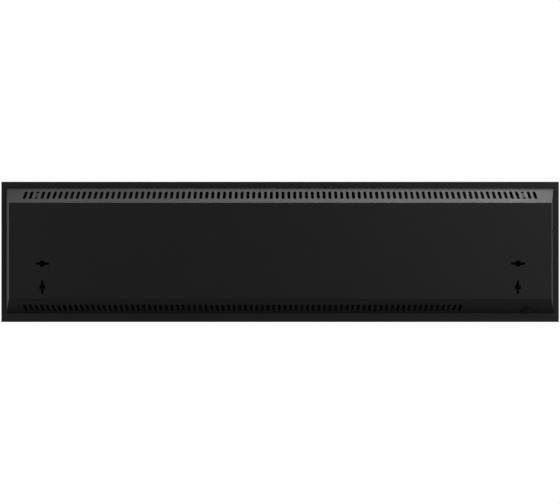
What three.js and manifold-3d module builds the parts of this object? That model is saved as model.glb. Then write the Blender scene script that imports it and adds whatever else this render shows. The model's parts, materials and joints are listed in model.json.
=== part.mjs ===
// A slim linear electric fireplace for hanging on a wall or letting into it.
// Millimetres, +Z up, the room is on the -Y side and the wall on the +Y side.
// The origin is the middle of the rear panel's outer face. Left and right are as seen from the room.
import * as THREE from "three";
import { mergeVertices } from "three/addons/utils/BufferGeometryUtils.js";
import Module from "manifold-3d";

const wasm = await Module();
wasm.setup();

// The face
const FACE_WIDTH = 1829;
const FACE_HEIGHT = 460;
const FRAME_DEPTH = 18; // rear of the flange to the front edge of the frame
const FRAME_SHEET = 1.5;

// The casing behind the flange, a folded tray whose four walls lean outwards
const CASING_DEPTH = 80;
const CASING_SHEET = 1.2;
const FOLD_RADIUS = 1; // inside of every fold
const MOUTH_SIDE_MARGIN = 17.2; // flange left showing round the casing
const MOUTH_TOP_MARGIN = 20.5;
const MOUTH_BOTTOM_MARGIN = 29;
const SIDE_TAPER = 25.3; // how far each wall leans out over the casing's depth
const TOP_TAPER = 51.8;
const BOTTOM_TAPER = 48.6;
const MOUTH_LIP = 10;
const MOUTH_CLEARANCE = 0.8; // flange window round the casing
const END_TAB = 14; // end panel's fold along the rear panel

// Slots in the two leaning walls
const SLOT_WIDTH = 10;
const TOP_SLOT_LENGTH = 48;
const TOP_SLOT_PITCH = 19.02;
const TOP_SLOT_START = 24.5; // from the rear panel's edge, along the wall
const SHORT_SLOT_LENGTH = 14.5; // the two pieces of the slot that a screw interrupts
const SCREWED_SLOT = 2; // counted from either end, the first slot being 0
const BOTTOM_SLOT_LENGTH = 44;
const BOTTOM_SLOT_PITCH = 18.36;
const BOTTOM_SLOT_START = 35.5;
const SLOT_END_MARGIN = 43; // rear corner to the first slot's middle
const SUPPLY_BAY = 286.9; // unslotted length of the bottom wall, over the mains inlet

// Keyholes in the rear panel, each a round hole with an arm on two sides
const KEYHOLE_RADIUS = 10;
const KEYHOLE_LENGTH = 45;
const KEYHOLE_ARM_WIDTH = 8;
const KEYHOLE_END_MARGIN = 108;
const UPPER_KEYHOLE_DROP = 40.2;
const KEYHOLE_SPACING = 75.9;

// Glass
const GLASS_THICKNESS = 4;
const GLASS_EDGE_GAP = 0.8;
const GLASS_RECESS = 0.3;
const GLASS_CORNER = 2;
const GLASS_ARRIS = 0.5; // ground edge
const GASKET_THICKNESS = 1;
const GASKET_WIDTH = 12;
const CARRIER_SHEET = 1.2;
const CARRIER_EDGE_GAP = 1;
const CARRIER_INSET = 4; // web inside the casing's mouth
const CARRIER_FLANGE = 14;

// Warm-air outlet
const OUTLET_END_MARGIN = 8; // outlet past the blower's end plates
const OUTLET_HEIGHT = 24;
const OUTLET_CORNER = 4;
const OUTLET_DROP = 43.4; // face's top edge to the outlet
const GRILLE_CLEARANCE = 0.8;
const GRILLE_RIM = 3;
const GRILLE_FLANGE = 5;
const GRILLE_FLANGE_THICKNESS = 1.2;
const GRILLE_PROUD = 0.2;
const GRILLE_SLAT = 1.6;
const GRILLE_SLATS = 2;
const GRILLE_RIB = 2;
const GRILLE_RIB_PITCH = 76;

// Firebox
const CHEEK_MARGIN = 76; // face's side edge to the firebox's side wall
const INNER_SHEET = 1.2;
const SHIELD_DROP = 35; // rear panel's top edge to the heat shield
const SHIELD_TAB = 12;
const SHIELD_LIP = 10;
const SHELF_END_GAP = 16; // how far shelf and floor run past the side walls
const FLOOR_DROP = 5; // rear panel's bottom edge to the firebox floor
const INNER_FRONT_GAP = 10; // frame's front edge to that of shelf, floor and side walls
const FLOOR_LEG_SETBACK = 10;
const CHEEK_TAB = 10;
const SCREEN_THICKNESS = 3;
const SCREEN_DEPTH_SHARE = 0.49; // of the whole depth, from the wall face
const MASK_SHEET = 1;
const MASK_DEPTH_SHARE = 0.44;
const MASK_HEIGHT = 128;
const FLAME_PITCH = 104;
const FLAME_WIDTH = 34;
const FLAME_HEIGHT = 92;
const FLAME_FOOT = 22;
const FLAME_LEAN_SHARE = 1 / 3;

// Ember bed
const TRAY_WALL = 2;
const TRAY_RAISE = 10;
const TRAY_FRONT_HEIGHT = 17;
const TRAY_REAR_HEIGHT = 24;
const TRAY_LEG_WIDTH = 3;
const BED_HEIGHT = 15;
const BED_PITCH = 60;
const BED_LEAST_SHARE = 0.55; // of the bed's height
const BED_FRONT_SHARE = 0.2; // of its depth, to the two ridges
const BED_REAR_SHARE = 0.55;
const BED_WANDER_SHARE = 0.17;
const EMBER_BOARD_WIDTH = 12;
const BOARD_THICKNESS = 1.6;

// Flame spindle
const SPINDLE_DEPTH_SHARE = 0.265; // of the whole depth, to the spindle's axis
const SPINDLE_RAISE = 22; // firebox floor to the spindle's axis
const ROD_RADIUS = 3;
const ROD_TAIL = 13; // rod past the right bush
const VANE_RADIUS = 14;
const VANE_HUB_RADIUS = 5.4;
const VANE_BORE_RADIUS = 3.8;
const VANE_SHEET = 1;
const VANE_GAP = 24;
const VANE_WINGS = 3;
const VANE_TWIST = Math.PI / 3;
const BUSH_THICKNESS = 10;
const BUSH_WIDTH = 16;
const BUSH_HEAD = 8;
const BUSH_BORE_RADIUS = 3.6;
const END_BUSH_GAP = 5.5; // firebox side wall to the bush beside it
const SPINDLE_SPANS = 3;
const VANES_PER_SPAN = 2;
const MOTOR_RADIUS = 20;
const MOTOR_THICKNESS = 14;
const MOTOR_SHAFT_RADIUS = 2;
const MOTOR_GAP = 11; // side wall to the motor's mounting plate
const MOTOR_EAR_WIDTH = 12;
const MOTOR_EAR_REACH = 6;
const COUPLING_RADIUS = 5.5;
const COUPLING_LENGTH = 15;
const PASS_HOLE_RADIUS = 8;
const PLATE_FOOT = 8;

// Blower and heater
const BLOWER_DEPTH_SHARE = 0.367; // of the whole depth, to the fan's axis
const BLOWER_DROP = 9; // rear panel's top edge down to the fan's axis
const FAN_RADIUS = 19;
const FAN_LENGTH = 524;
const FAN_BLADES = 12;
const FAN_BLADE_DEPTH = 5;
const FAN_BLADE_SHEET = 0.9;
const FAN_DISC = 1.5;
const FAN_DISCS = 4;
const FAN_HUB_RADIUS = 6;
const FAN_HUB_LENGTH = 6;
const FAN_END_GAP = 10;
const SHAFT_RADIUS = 2.5;
const SHAFT_BORE_RADIUS = 3.1;
const SCROLL_RADIUS = 22;
const SCROLL_SHEET = 1;
const SCROLL_FROM = (30 * Math.PI) / 180; // from the wall side, upwards
const SCROLL_TO = (-130 * Math.PI) / 180;
const TONGUE_FROM = (130 * Math.PI) / 180;
const TONGUE_RADIUS = 22.5;
const TONGUE_TAIL_DEPTH = 2; // the tongue's rear edge turns up towards the slots
const TONGUE_TAIL_HEIGHT = 8;
const DUCT_FRONT_GAP = 10.5; // frame's front edge to the duct's mouth
const DUCT_LIP_GAP = 1;
const BLOWER_PLATE_SHEET = 1.2;
const BLOWER_PLATE_REAR = 13;
const BLOWER_PLATE_TOP_GAP = 6;
const BLOWER_PLATE_LEAD = 2; // plate over the duct's mouth
const BLOWER_PLATE_BORE = 8.5; // radius of the hole round the fan's axis
const BEARING_RADIUS = 7.8;
const BEARING_FLANGE_RADIUS = 10.5;
const BEARING_FLANGE_THICKNESS = 2;
const BEARING_NOSE = 5; // fan's end to the bearing's
const AXLE_TAIL = 5; // axle past the end plate
const ELEMENT_END_GAP = 32; // blower's end plate to the element
const ELEMENT_DEPTH_SHARE = 0.714; // of the whole depth, to the element's middle
const ELEMENT_THICKNESS = 8;
const ELEMENT_HEIGHT = 19;
const ELEMENT_RAISE = 29.5; // heat shield to the element's foot
const ELEMENT_RAIL = 2;
const ELEMENT_FIN = 1;
const ELEMENT_FIN_PITCH = 60;
const HOLDER_LENGTH = 14;
const CUTOUT_RADIUS = 8;
const CUTOUT_HEIGHT = 7;
const CUTOUT_OFFSET = 120;
const CUTOUT_ALONG = 20; // down the duct's upper wall from the fan

// Blower motor
const CORE_THICKNESS = 16;
const CORE_GAP = 16; // blower's end plate to the laminated core
const CORE_FRONT_GAP = 14; // frame's front edge to the core's
const CORE_BACK = 18;
const CORE_HALF_HEIGHT = 18;
const CORE_LIMB = 12;
const CORE_WINDOW = 9;
const CORE_YOKE = 7;
const ROTOR_RADIUS = 9.8;
const ROTOR_HOLE_RADIUS = 10.6;
const COIL_WALL = 4;
const COIL_END_GAP = 2;
const BRIDGE_THICKNESS = 3;
const BRIDGE_STANDOFF = 4;
const BRIDGE_WIDTH = 12;
const BRIDGE_LENGTH = 34;
const POST_RADIUS = 2.5;

// Supply and controls
const MAIN_BOARD_LENGTH = 180;
const MAIN_BOARD_WIDTH = 50;
const MAIN_BOARD_RAISE = 6;
const MAIN_BOARD_FROM_SIDE = 85; // firebox side wall to the board
const BOARD_FRONT_GAP = 20; // frame's front edge to the boards'
const RELAY_LENGTH = 19;
const RELAY_WIDTH = 15;
const RELAY_HEIGHT = 15;
const RELAY_FIRST = 38; // board's end to the first relay
const RELAY_PITCH = 38;
const DRIVER_LENGTH = 110;
const DRIVER_WIDTH = 40;
const DRIVER_HEIGHT = 26;
const DRIVER_FROM_SIDE = 60;
const TERMINAL_LENGTH = 40;
const TERMINAL_WIDTH = 22;
const TERMINAL_HEIGHT = 16;
const TERMINAL_FROM_SIDE = 20;
const TOUCH_LENGTH = 120;
const TOUCH_HEIGHT = 26;
const TOUCH_DROP = 60;
const TOUCH_END_MARGIN = 170;
const SWITCH_LENGTH = 19; // cut-out for the rocker switch
const SWITCH_WIDTH = 13;
const SWITCH_BEZEL = 2;
const SWITCH_BEZEL_HEIGHT = 2;
const SWITCH_BODY_DEPTH = 16;
const SWITCH_WALL = 1.2;
const SWITCH_ALONG = 42; // from the rear panel, along the end panel
const SWITCH_RISE = 60;
const SWITCH_PIVOT_DEPTH = 1.5;
const ROCKER_TILT = (10 * Math.PI) / 180;
const ROCKER_CROWN = 3.2;
const ROCKER_KEEL = 3;
const ROCKER_CLEARANCE = 0.5;
const ROCKER_END_CLEARANCE = 1.1; // leaves room for its tilt
const GLAND_FROM_END = 90; // casing mouth's corner to the cord gland
const GLAND_FROM_LIP = 21; // casing mouth to the gland, along the bottom wall
const GLAND_FLANGE_RADIUS = 19;
const GLAND_FLANGE_HEIGHT = 4;
const GLAND_BOSS_RADIUS = 11;
const GLAND_HEIGHT = 8;
const GLAND_BORE_RADIUS = 5;
const GLAND_THREAD_RADIUS = 8;
const GLAND_TAIL = 6;
const NUT_RADIUS = 12;
const NUT_HEIGHT = 4;
const NUT_SIDES = 6;

// Workshop values
const SEAT = 0.3; // gap kept between pieces that bear on each other
const OVERRUN = 5; // how far a cutting shape runs past what it cuts
const MERGE = 1e-4;
const WANDER_RATE = 2.4; // radians, any value that doesn't repeat soon
const FOLD_STEPS = 3;
const SLOT_STEPS = 3;
const FLAME_STEPS = 2;
const SHAFT_SIDES = 6;

// Places worked out from the sizes
const rearHeight =
  FACE_HEIGHT - MOUTH_TOP_MARGIN - MOUTH_BOTTOM_MARGIN - TOP_TAPER - BOTTOM_TAPER;
const rearTop = rearHeight / 2;
const rearBottom = -rearTop;
const faceHalf = FACE_WIDTH / 2;
const mouthHalf = faceHalf - MOUTH_SIDE_MARGIN;
const rearHalf = mouthHalf - SIDE_TAPER;
const mouthTop = rearTop + TOP_TAPER;
const mouthBottom = rearBottom - BOTTOM_TAPER;
const faceTop = mouthTop + MOUTH_TOP_MARGIN;
const faceBottom = mouthBottom - MOUTH_BOTTOM_MARGIN;
const flangeRear = -CASING_DEPTH;
const flangeFront = flangeRear - FRAME_SHEET;
const faceFront = flangeRear - FRAME_DEPTH;
const innerFront = faceFront + INNER_FRONT_GAP;
const ductFront = faceFront + DUCT_FRONT_GAP;
const boardFront = faceFront + BOARD_FRONT_GAP;
const screenBack = faceFront * SCREEN_DEPTH_SHARE;
const maskBack = faceFront * MASK_DEPTH_SHARE;
const lipRear = flangeFront - SEAT;
const lipFront = lipRear - CASING_SHEET;
const glassFront = faceFront + GLASS_RECESS;
const glassBack = glassFront + GLASS_THICKNESS;
const gasketFront = glassBack + SEAT;
const carrierFront = gasketFront + GASKET_THICKNESS + SEAT;
const carrierRear = lipFront - SEAT;
const cheekInner = faceHalf - CHEEK_MARGIN;
const shelfHalf = cheekInner + SHELF_END_GAP;
const shieldUnder = rearTop - SHIELD_DROP;
const shieldTop = shieldUnder + INNER_SHEET;
const floorTop = rearBottom - FLOOR_DROP;
const floorUnder = floorTop - INNER_SHEET;
const innerRear = -CASING_SHEET - SEAT; // where a tab lies on the rear panel
const fanHalf = FAN_LENGTH / 2;
const blowerHalf = fanHalf + FAN_END_GAP; // inner faces of the blower's end plates
const blowerOuter = blowerHalf + BLOWER_PLATE_SHEET;
const outletHalf = blowerOuter + OUTLET_END_MARGIN;
const outletTop = faceTop - OUTLET_DROP;
const outletBottom = outletTop - OUTLET_HEIGHT;
const topWallLength = Math.hypot(CASING_DEPTH, TOP_TAPER);
const bottomWallLength = Math.hypot(CASING_DEPTH, BOTTOM_TAPER);

// Inside face of the leaning walls at a depth y, which is negative
const topInside = (y) =>
  rearTop + (TOP_TAPER * -y) / CASING_DEPTH - (CASING_SHEET * topWallLength) / CASING_DEPTH;
const bottomInside = (y) =>
  rearBottom - (BOTTOM_TAPER * -y) / CASING_DEPTH + (CASING_SHEET * bottomWallLength) / CASING_DEPTH;
const endOutside = (y) => rearHalf + (SIDE_TAPER * -y) / CASING_DEPTH;

const ALONG_X = new THREE.Matrix4().makeBasis(
  new THREE.Vector3(0, 1, 0),
  new THREE.Vector3(0, 0, 1),
  new THREE.Vector3(1, 0, 0),
);
const TOWARDS_ROOM = new THREE.Matrix4().makeBasis(
  new THREE.Vector3(1, 0, 0),
  new THREE.Vector3(0, 0, 1),
  new THREE.Vector3(0, -1, 0),
);

// Joining and cutting
function solid(geometry) {
  const g = geometry.index ? geometry.toNonIndexed() : geometry.clone();
  g.deleteAttribute("normal");
  g.deleteAttribute("uv");
  const merged = mergeVertices(g, MERGE);
  return new wasm.Manifold(
    new wasm.Mesh({
      numProp: 3,
      vertProperties: merged.attributes.position.array,
      triVerts: new Uint32Array(merged.index.array),
    }),
  );
}

function geometryOf(manifold) {
  const mesh = manifold.getMesh();
  const g = new THREE.BufferGeometry();
  g.setAttribute("position", new THREE.BufferAttribute(mesh.vertProperties, 3));
  g.setIndex(new THREE.BufferAttribute(mesh.triVerts, 1));
  const flat = g.toNonIndexed();
  flat.computeVertexNormals();
  return flat;
}

const cut = (body, ...tools) =>
  geometryOf(tools.reduce((left, tool) => left.subtract(solid(tool)), solid(body)));
const join = (...pieces) =>
  geometryOf(pieces.map(solid).reduce((left, piece) => left.add(piece)));
const common = (a, b) => geometryOf(solid(a).intersect(solid(b)));

// Shapes
function extrude(shapes, length, steps = FOLD_STEPS) {
  return new THREE.ExtrudeGeometry(shapes, {
    depth: length,
    bevelEnabled: false,
    curveSegments: steps,
  });
}

const alongX = (shapes, from, to, steps) =>
  extrude(shapes, to - from, steps).applyMatrix4(ALONG_X).translate(from, 0, 0);
const alongZ = (shapes, from, to, steps) =>
  extrude(shapes, to - from, steps).translate(0, 0, from);
const towardsRoom = (shapes, rear, front, steps) =>
  extrude(shapes, rear - front, steps).applyMatrix4(TOWARDS_ROOM).translate(0, rear, 0);

function block(x0, x1, y0, y1, z0, z1) {
  const g = new THREE.BoxGeometry(x1 - x0, y1 - y0, z1 - z0);
  return g.translate((x0 + x1) / 2, (y0 + y1) / 2, (z0 + z1) / 2);
}

function polygon(points) {
  return new THREE.Shape(points.map(([u, v]) => new THREE.Vector2(u, v)));
}

const rectangle = (u0, u1, v0, v1) =>
  polygon([
    [u0, v0],
    [u1, v0],
    [u1, v1],
    [u0, v1],
  ]);

function roundedRectangle(u0, u1, v0, v1, r) {
  const s = new THREE.Shape();
  s.absarc(u1 - r, v1 - r, r, 0, Math.PI / 2);
  s.absarc(u0 + r, v1 - r, r, Math.PI / 2, Math.PI);
  s.absarc(u0 + r, v0 + r, r, Math.PI, (3 * Math.PI) / 2);
  s.absarc(u1 - r, v0 + r, r, (3 * Math.PI) / 2, 2 * Math.PI);
  s.closePath();
  return s;
}

// A slot with round ends, its length along v
function slot(u, v0, v1, width, steps = SLOT_STEPS) {
  const r = width / 2;
  const end = (v, from) =>
    Array.from({ length: steps + 1 }, (_, k) => {
      const a = from + (Math.PI * k) / steps;
      return [u + r * Math.cos(a), v + r * Math.sin(a)];
    });
  return polygon([...end(v1 - r, 0), ...end(v0 + r, Math.PI)]);
}

function disc(u, v, r) {
  return new THREE.Shape().absarc(u, v, r, 0, 2 * Math.PI);
}

function windowed(outer, ...holes) {
  outer.holes.push(...holes);
  return outer;
}

// A round bar along X, or a tube when it has a bore
function bar(from, to, y, z, radius, bore, sides = SHAFT_SIDES) {
  const section = disc(y, z, radius);
  if (bore) section.holes.push(disc(y, z, bore));
  return alongX(section, from, to, sides);
}

// The section of a folded sheet. The points run along one face and the sheet lies on their right.
function foldedSheet(points, sheet, steps = FOLD_STEPS) {
  const p = points.map(([u, v]) => new THREE.Vector2(u, v));
  const face = [];
  const back = [];
  const heading = (i) => p[i + 1].clone().sub(p[i]).normalize();
  const right = (d) => new THREE.Vector2(d.y, -d.x);
  const end = (i, d) => {
    face.push(p[i].clone());
    back.push(p[i].clone().addScaledVector(right(d), sheet));
  };
  end(0, heading(0));
  for (let i = 1; i < p.length - 1; i++) {
    const a = heading(i - 1);
    const b = heading(i);
    const turn = Math.atan2(a.cross(b), a.dot(b));
    const side = Math.sign(turn); // 1 turns left, away from the sheet's side
    const faceRadius = side > 0 ? FOLD_RADIUS : FOLD_RADIUS + sheet;
    const backRadius = side > 0 ? FOLD_RADIUS + sheet : FOLD_RADIUS;
    const reach = faceRadius * Math.tan(Math.abs(turn) / 2);
    const centre = p[i]
      .clone()
      .addScaledVector(a, -reach)
      .addScaledVector(right(a), -side * faceRadius);
    for (let k = 0; k <= steps; k++) {
      const out = right(a).rotateAround(new THREE.Vector2(), (turn * k) / steps);
      face.push(centre.clone().addScaledVector(out, side * faceRadius));
      back.push(centre.clone().addScaledVector(out, side * backRadius));
    }
  }
  end(p.length - 1, heading(p.length - 2));
  return new THREE.Shape([...face, ...back.reverse()]);
}

// Materials
const finish = (color, roughness, metalness) =>
  new THREE.MeshStandardMaterial({ color, roughness, metalness });
const blackCoat = finish(0x1c1c1d, 0.5, 0.2);
const glassFinish = finish(0x0b0c0e, 0.05, 0);
const galvanised = finish(0x9b9fa3, 0.4, 0.9);
const mirrorSteel = finish(0xc9ccd0, 0.12, 1);
const aluminium = finish(0xb8bbbe, 0.35, 0.9);
const blackPlastic = finish(0x161617, 0.45, 0);
const whitePlastic = finish(0xdedcd4, 0.5, 0);
const smokedAcrylic = finish(0x2b2d30, 0.2, 0);
const clearAcrylic = finish(0xd6dde0, 0.2, 0);
const foam = finish(0x101011, 0.95, 0);
const circuitBoard = finish(0x1f5a38, 0.5, 0);
const enamelledCopper = finish(0x9a5428, 0.4, 0.7);
const crystal = finish(0xcfe4ea, 0.08, 0);

const fireplace = new THREE.Group();

function add(name, geometry, material, parent = fireplace) {
  const mesh = new THREE.Mesh(geometry, material);
  mesh.name = name;
  parent.add(mesh);
  return mesh;
}

// Casing
const casingSection = () =>
  foldedSheet(
    [
      [lipRear, mouthTop + MOUTH_LIP],
      [lipRear, mouthTop],
      [flangeRear, mouthTop],
      [0, rearTop],
      [0, rearBottom],
      [flangeRear, mouthBottom],
      [lipRear, mouthBottom],
      [lipRear, mouthBottom - MOUTH_LIP],
    ],
    CASING_SHEET,
  );

// The casing seen from above, which gives its ends their lean
const casingPlan = () =>
  polygon([
    [-rearHalf, OVERRUN],
    [-rearHalf, 0],
    [-mouthHalf, flangeRear],
    [-mouthHalf, faceFront],
    [mouthHalf, faceFront],
    [mouthHalf, flangeRear],
    [rearHalf, 0],
    [rearHalf, OVERRUN],
  ]);

// A wall leaning back from the rear panel's edge: u runs along X and v from that edge to the mouth
function wallFrame(edge, taper) {
  const along = new THREE.Vector3(1, 0, 0);
  const out = new THREE.Vector3(0, -CASING_DEPTH, taper).normalize();
  const across = along.clone().cross(out);
  return new THREE.Matrix4().makeBasis(along, out, across).setPosition(0, 0, edge);
}

function slotRow(from, to, pitch, start, length, screwed) {
  const count = Math.floor((to - from) / pitch) + 1;
  const first = (from + to - (count - 1) * pitch) / 2;
  return Array.from({ length: count }, (_, i) => {
    const u = first + i * pitch;
    const interrupted = screwed && (i === SCREWED_SLOT || i === count - 1 - SCREWED_SLOT);
    if (!interrupted) return [slot(u, start, start + length, SLOT_WIDTH)];
    return [
      slot(u, start, start + SHORT_SLOT_LENGTH, SLOT_WIDTH),
      slot(u, start + length - SHORT_SLOT_LENGTH, start + length, SLOT_WIDTH),
    ];
  }).flat();
}

const wallCutter = (shapes, edge, taper, steps = SLOT_STEPS) =>
  extrude(shapes, 2 * OVERRUN, steps)
    .translate(0, 0, -OVERRUN)
    .applyMatrix4(wallFrame(edge, taper));

function keyholeCutters() {
  const x = rearHalf - KEYHOLE_END_MARGIN;
  const upper = -UPPER_KEYHOLE_DROP;
  const lower = upper - KEYHOLE_SPACING;
  const arm = KEYHOLE_LENGTH / 2;
  const half = KEYHOLE_ARM_WIDTH / 2;
  const ends = [-x, x];
  const round = ends.flatMap((u) => [upper, lower].map((v) => disc(u, v, KEYHOLE_RADIUS)));
  const arms = ends.flatMap((u) => [
    roundedRectangle(u - arm, u + arm, upper - half, upper + half, half),
    slot(u, lower - arm, lower + arm, KEYHOLE_ARM_WIDTH, 2 * SLOT_STEPS),
  ]);
  return [
    towardsRoom(round, OVERRUN, -OVERRUN, 3 * SLOT_STEPS),
    towardsRoom(arms, OVERRUN, -OVERRUN, SLOT_STEPS),
  ];
}

const glandSpot = bottomWallLength - GLAND_FROM_LIP;
const glandX = -(mouthHalf - GLAND_FROM_END);

function addCasing() {
  const folded = alongX(casingSection(), -mouthHalf, mouthHalf);
  const trimmed = common(folded, alongZ(casingPlan(), faceBottom, faceTop));
  const topSlots = slotRow(
    -rearHalf + SLOT_END_MARGIN,
    rearHalf - SLOT_END_MARGIN,
    TOP_SLOT_PITCH,
    TOP_SLOT_START,
    TOP_SLOT_LENGTH,
    true,
  );
  const bottomSlots = slotRow(
    -rearHalf + SUPPLY_BAY,
    rearHalf - SLOT_END_MARGIN,
    BOTTOM_SLOT_PITCH,
    BOTTOM_SLOT_START,
    BOTTOM_SLOT_LENGTH,
    false,
  );
  const glandHole = disc(glandX, glandSpot, GLAND_THREAD_RADIUS + 2 * SEAT);
  add(
    "rear_casing",
    cut(
      trimmed,
      wallCutter(topSlots, rearTop, TOP_TAPER),
      wallCutter(bottomSlots, rearBottom, -BOTTOM_TAPER),
      wallCutter([glandHole], rearBottom, -BOTTOM_TAPER, SHAFT_SIDES),
      ...keyholeCutters(),
    ),
    blackCoat,
  );
}

// The space inside the casing, which trims the end panels
function casingInside() {
  const topLean = ((CASING_SHEET + SEAT) * topWallLength) / CASING_DEPTH;
  const bottomLean = ((CASING_SHEET + SEAT) * bottomWallLength) / CASING_DEPTH;
  return polygon([
    [faceFront, mouthBottom + bottomLean],
    [flangeRear, mouthBottom + bottomLean],
    [0, rearBottom + bottomLean],
    [0, rearTop - topLean],
    [flangeRear, mouthTop - topLean],
    [faceFront, mouthTop - topLean],
  ]);
}

// What of a piece lies inside the casing
const fitted = (piece) => common(piece, alongX(casingInside(), -faceHalf, faceHalf));

// The end panels' own frame: u from the rear panel to the mouth, v up, and outwards
const leftEnd = new THREE.Group();
leftEnd.position.set(-rearHalf, 0, 0);
leftEnd.rotation.z = -Math.atan2(SIDE_TAPER, CASING_DEPTH);
fireplace.add(leftEnd);

function addEndPanels() {
  const corner = endOutside(innerRear);
  const section = foldedSheet(
    [
      [corner - END_TAB, innerRear],
      [corner, innerRear],
      [mouthHalf, flangeRear],
      [mouthHalf, lipRear],
      [mouthHalf + MOUTH_LIP, lipRear],
    ],
    CASING_SHEET,
  );
  const panel = fitted(alongZ(section, faceBottom, faceTop));
  add("end_panel_right", panel, blackCoat);
  leftEnd.updateMatrix();
  const hole = block(
    -OVERRUN,
    OVERRUN,
    -SWITCH_ALONG - SWITCH_WIDTH / 2,
    -SWITCH_ALONG + SWITCH_WIDTH / 2,
    SWITCH_RISE - SWITCH_LENGTH / 2,
    SWITCH_RISE + SWITCH_LENGTH / 2,
  ).applyMatrix4(leftEnd.matrix);
  const other = geometryOf(solid(turnedOver(panel)).subtract(solid(hole)));
  add("end_panel_left", other, blackCoat);
}

// A geometry mirrored in X, with its faces still pointing out
function turnedOver(geometry) {
  const g = geometry.index ? geometry.toNonIndexed() : geometry.clone();
  const position = g.getAttribute("position");
  for (let i = 0; i < position.count; i += 3) {
    const corners = [0, 2, 1].map((k) => new THREE.Vector3().fromBufferAttribute(position, i + k));
    corners.forEach((c, k) => position.setXYZ(i + k, -c.x, c.y, c.z));
  }
  return g;
}

// Frame and glass
function ring(outer, inner, rear, front) {
  const section = windowed(
    rectangle(-outer.half, outer.half, outer.bottom, outer.top),
    rectangle(-inner.half, inner.half, inner.bottom, inner.top),
  );
  return towardsRoom(section, rear, front);
}

const inset = (r, by) => ({ half: r.half - by, bottom: r.bottom + by, top: r.top - by });
const face = { half: faceHalf, bottom: faceBottom, top: faceTop };
const mouth = { half: mouthHalf, bottom: mouthBottom, top: mouthTop };

function addFrame() {
  add(
    "trim_frame",
    join(
      ring(face, inset(mouth, -MOUTH_CLEARANCE), flangeRear, flangeFront),
      ring(face, inset(face, FRAME_SHEET), flangeRear, faceFront),
    ),
    blackCoat,
  );
}

function addGlass() {
  const edge = inset(face, FRAME_SHEET + GLASS_EDGE_GAP);
  const outline = windowed(
    roundedRectangle(-edge.half, edge.half, edge.bottom, edge.top, GLASS_CORNER),
    roundedRectangle(-outletHalf, outletHalf, outletBottom, outletTop, OUTLET_CORNER),
  );
  const pane = new THREE.ExtrudeGeometry(outline, {
    depth: GLASS_THICKNESS - 2 * GLASS_ARRIS,
    bevelThickness: GLASS_ARRIS,
    bevelSize: GLASS_ARRIS,
    bevelOffset: -GLASS_ARRIS,
    bevelSegments: 1,
    curveSegments: 1,
  });
  pane.applyMatrix4(TOWARDS_ROOM).translate(0, glassBack - GLASS_ARRIS, 0);
  add("front_glass", pane, glassFinish);

  const web = inset(mouth, CARRIER_INSET);
  const shelf = inset(web, CARRIER_FLANGE);
  add(
    "glass_gasket",
    ring(inset(shelf, -GASKET_WIDTH), shelf, gasketFront + GASKET_THICKNESS, gasketFront),
    foam,
  );
  add(
    "glass_carrier",
    join(
      ring(
        inset(face, FRAME_SHEET + CARRIER_EDGE_GAP),
        inset(web, CARRIER_SHEET),
        carrierRear,
        carrierRear - CARRIER_SHEET,
      ),
      ring(web, inset(web, CARRIER_SHEET), carrierRear, carrierFront),
      ring(web, shelf, carrierFront + CARRIER_SHEET, carrierFront),
    ),
    blackCoat,
  );
}

function addGrille() {
  const half = outletHalf - GRILLE_CLEARANCE;
  const low = outletBottom + GRILLE_CLEARANCE;
  const high = outletTop - GRILLE_CLEARANCE;
  const front = glassFront - GRILLE_PROUD;
  const rear = glassBack + SEAT + GRILLE_FLANGE_THICKNESS;
  const rim = GRILLE_RIM;
  const collar = windowed(
    roundedRectangle(-half, half, low, high, OUTLET_CORNER),
    rectangle(-half + rim, half - rim, low + rim, high - rim),
  );
  const flange = windowed(
    rectangle(
      -half - GRILLE_FLANGE,
      half + GRILLE_FLANGE,
      low - GRILLE_FLANGE,
      high + GRILLE_FLANGE,
    ),
    rectangle(-half + rim, half - rim, low + rim, high - rim),
  );
  const pieces = [
    towardsRoom(collar, rear, front),
    towardsRoom(flange, rear, glassBack + SEAT),
  ];
  const open = high - low - 2 * rim;
  for (let i = 1; i <= GRILLE_SLATS; i++) {
    const z = low + rim + (open * i) / (GRILLE_SLATS + 1);
    pieces.push(
      block(-half + rim / 2, half - rim / 2, front, rear, z - GRILLE_SLAT / 2, z + GRILLE_SLAT / 2),
    );
  }
  const ribs = Math.floor((2 * (half - rim)) / GRILLE_RIB_PITCH);
  for (let i = 1; i < ribs; i++) {
    const x = -half + rim + (2 * (half - rim) * i) / ribs;
    pieces.push(
      block(
        x - GRILLE_RIB / 2,
        x + GRILLE_RIB / 2,
        front + GRILLE_SLAT,
        rear,
        low + rim / 2,
        high - rim / 2,
      ),
    );
  }
  add("outlet_grille", join(...pieces), blackPlastic);
}

// Firebox
function addShield() {
  const section = foldedSheet(
    [
      [innerRear, shieldUnder + SHIELD_TAB],
      [innerRear, shieldUnder],
      [innerFront, shieldUnder],
      [innerFront, shieldUnder - SHIELD_LIP],
    ],
    INNER_SHEET,
  );
  add("heat_shield", alongX(section, -shelfHalf, shelfHalf), blackCoat);
}

// Depth at which the bottom wall's inside lies at a height z
const depthOfBottom = (z) =>
  ((rearBottom + (CASING_SHEET * bottomWallLength) / CASING_DEPTH - z) * CASING_DEPTH) /
  BOTTOM_TAPER;

function addFloor() {
  const rear = -depthOfBottom(floorUnder - 2 * SEAT);
  add(
    "firebox_floor",
    block(-shelfHalf, shelfHalf, innerFront, rear, floorUnder, floorTop),
    blackCoat,
  );
  const leg = innerFront + FLOOR_LEG_SETBACK;
  const under = floorUnder - SEAT;
  const angle = foldedSheet(
    [
      [innerFront, under],
      [leg + INNER_SHEET, under],
      [leg + INNER_SHEET, bottomInside(leg + INNER_SHEET) + SEAT],
    ],
    INNER_SHEET,
  );
  add("floor_support", alongX(angle, -shelfHalf, shelfHalf), blackCoat);
}

const spindleY = faceFront * SPINDLE_DEPTH_SHARE;
const spindleZ = floorTop + SPINDLE_RAISE;

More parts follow.
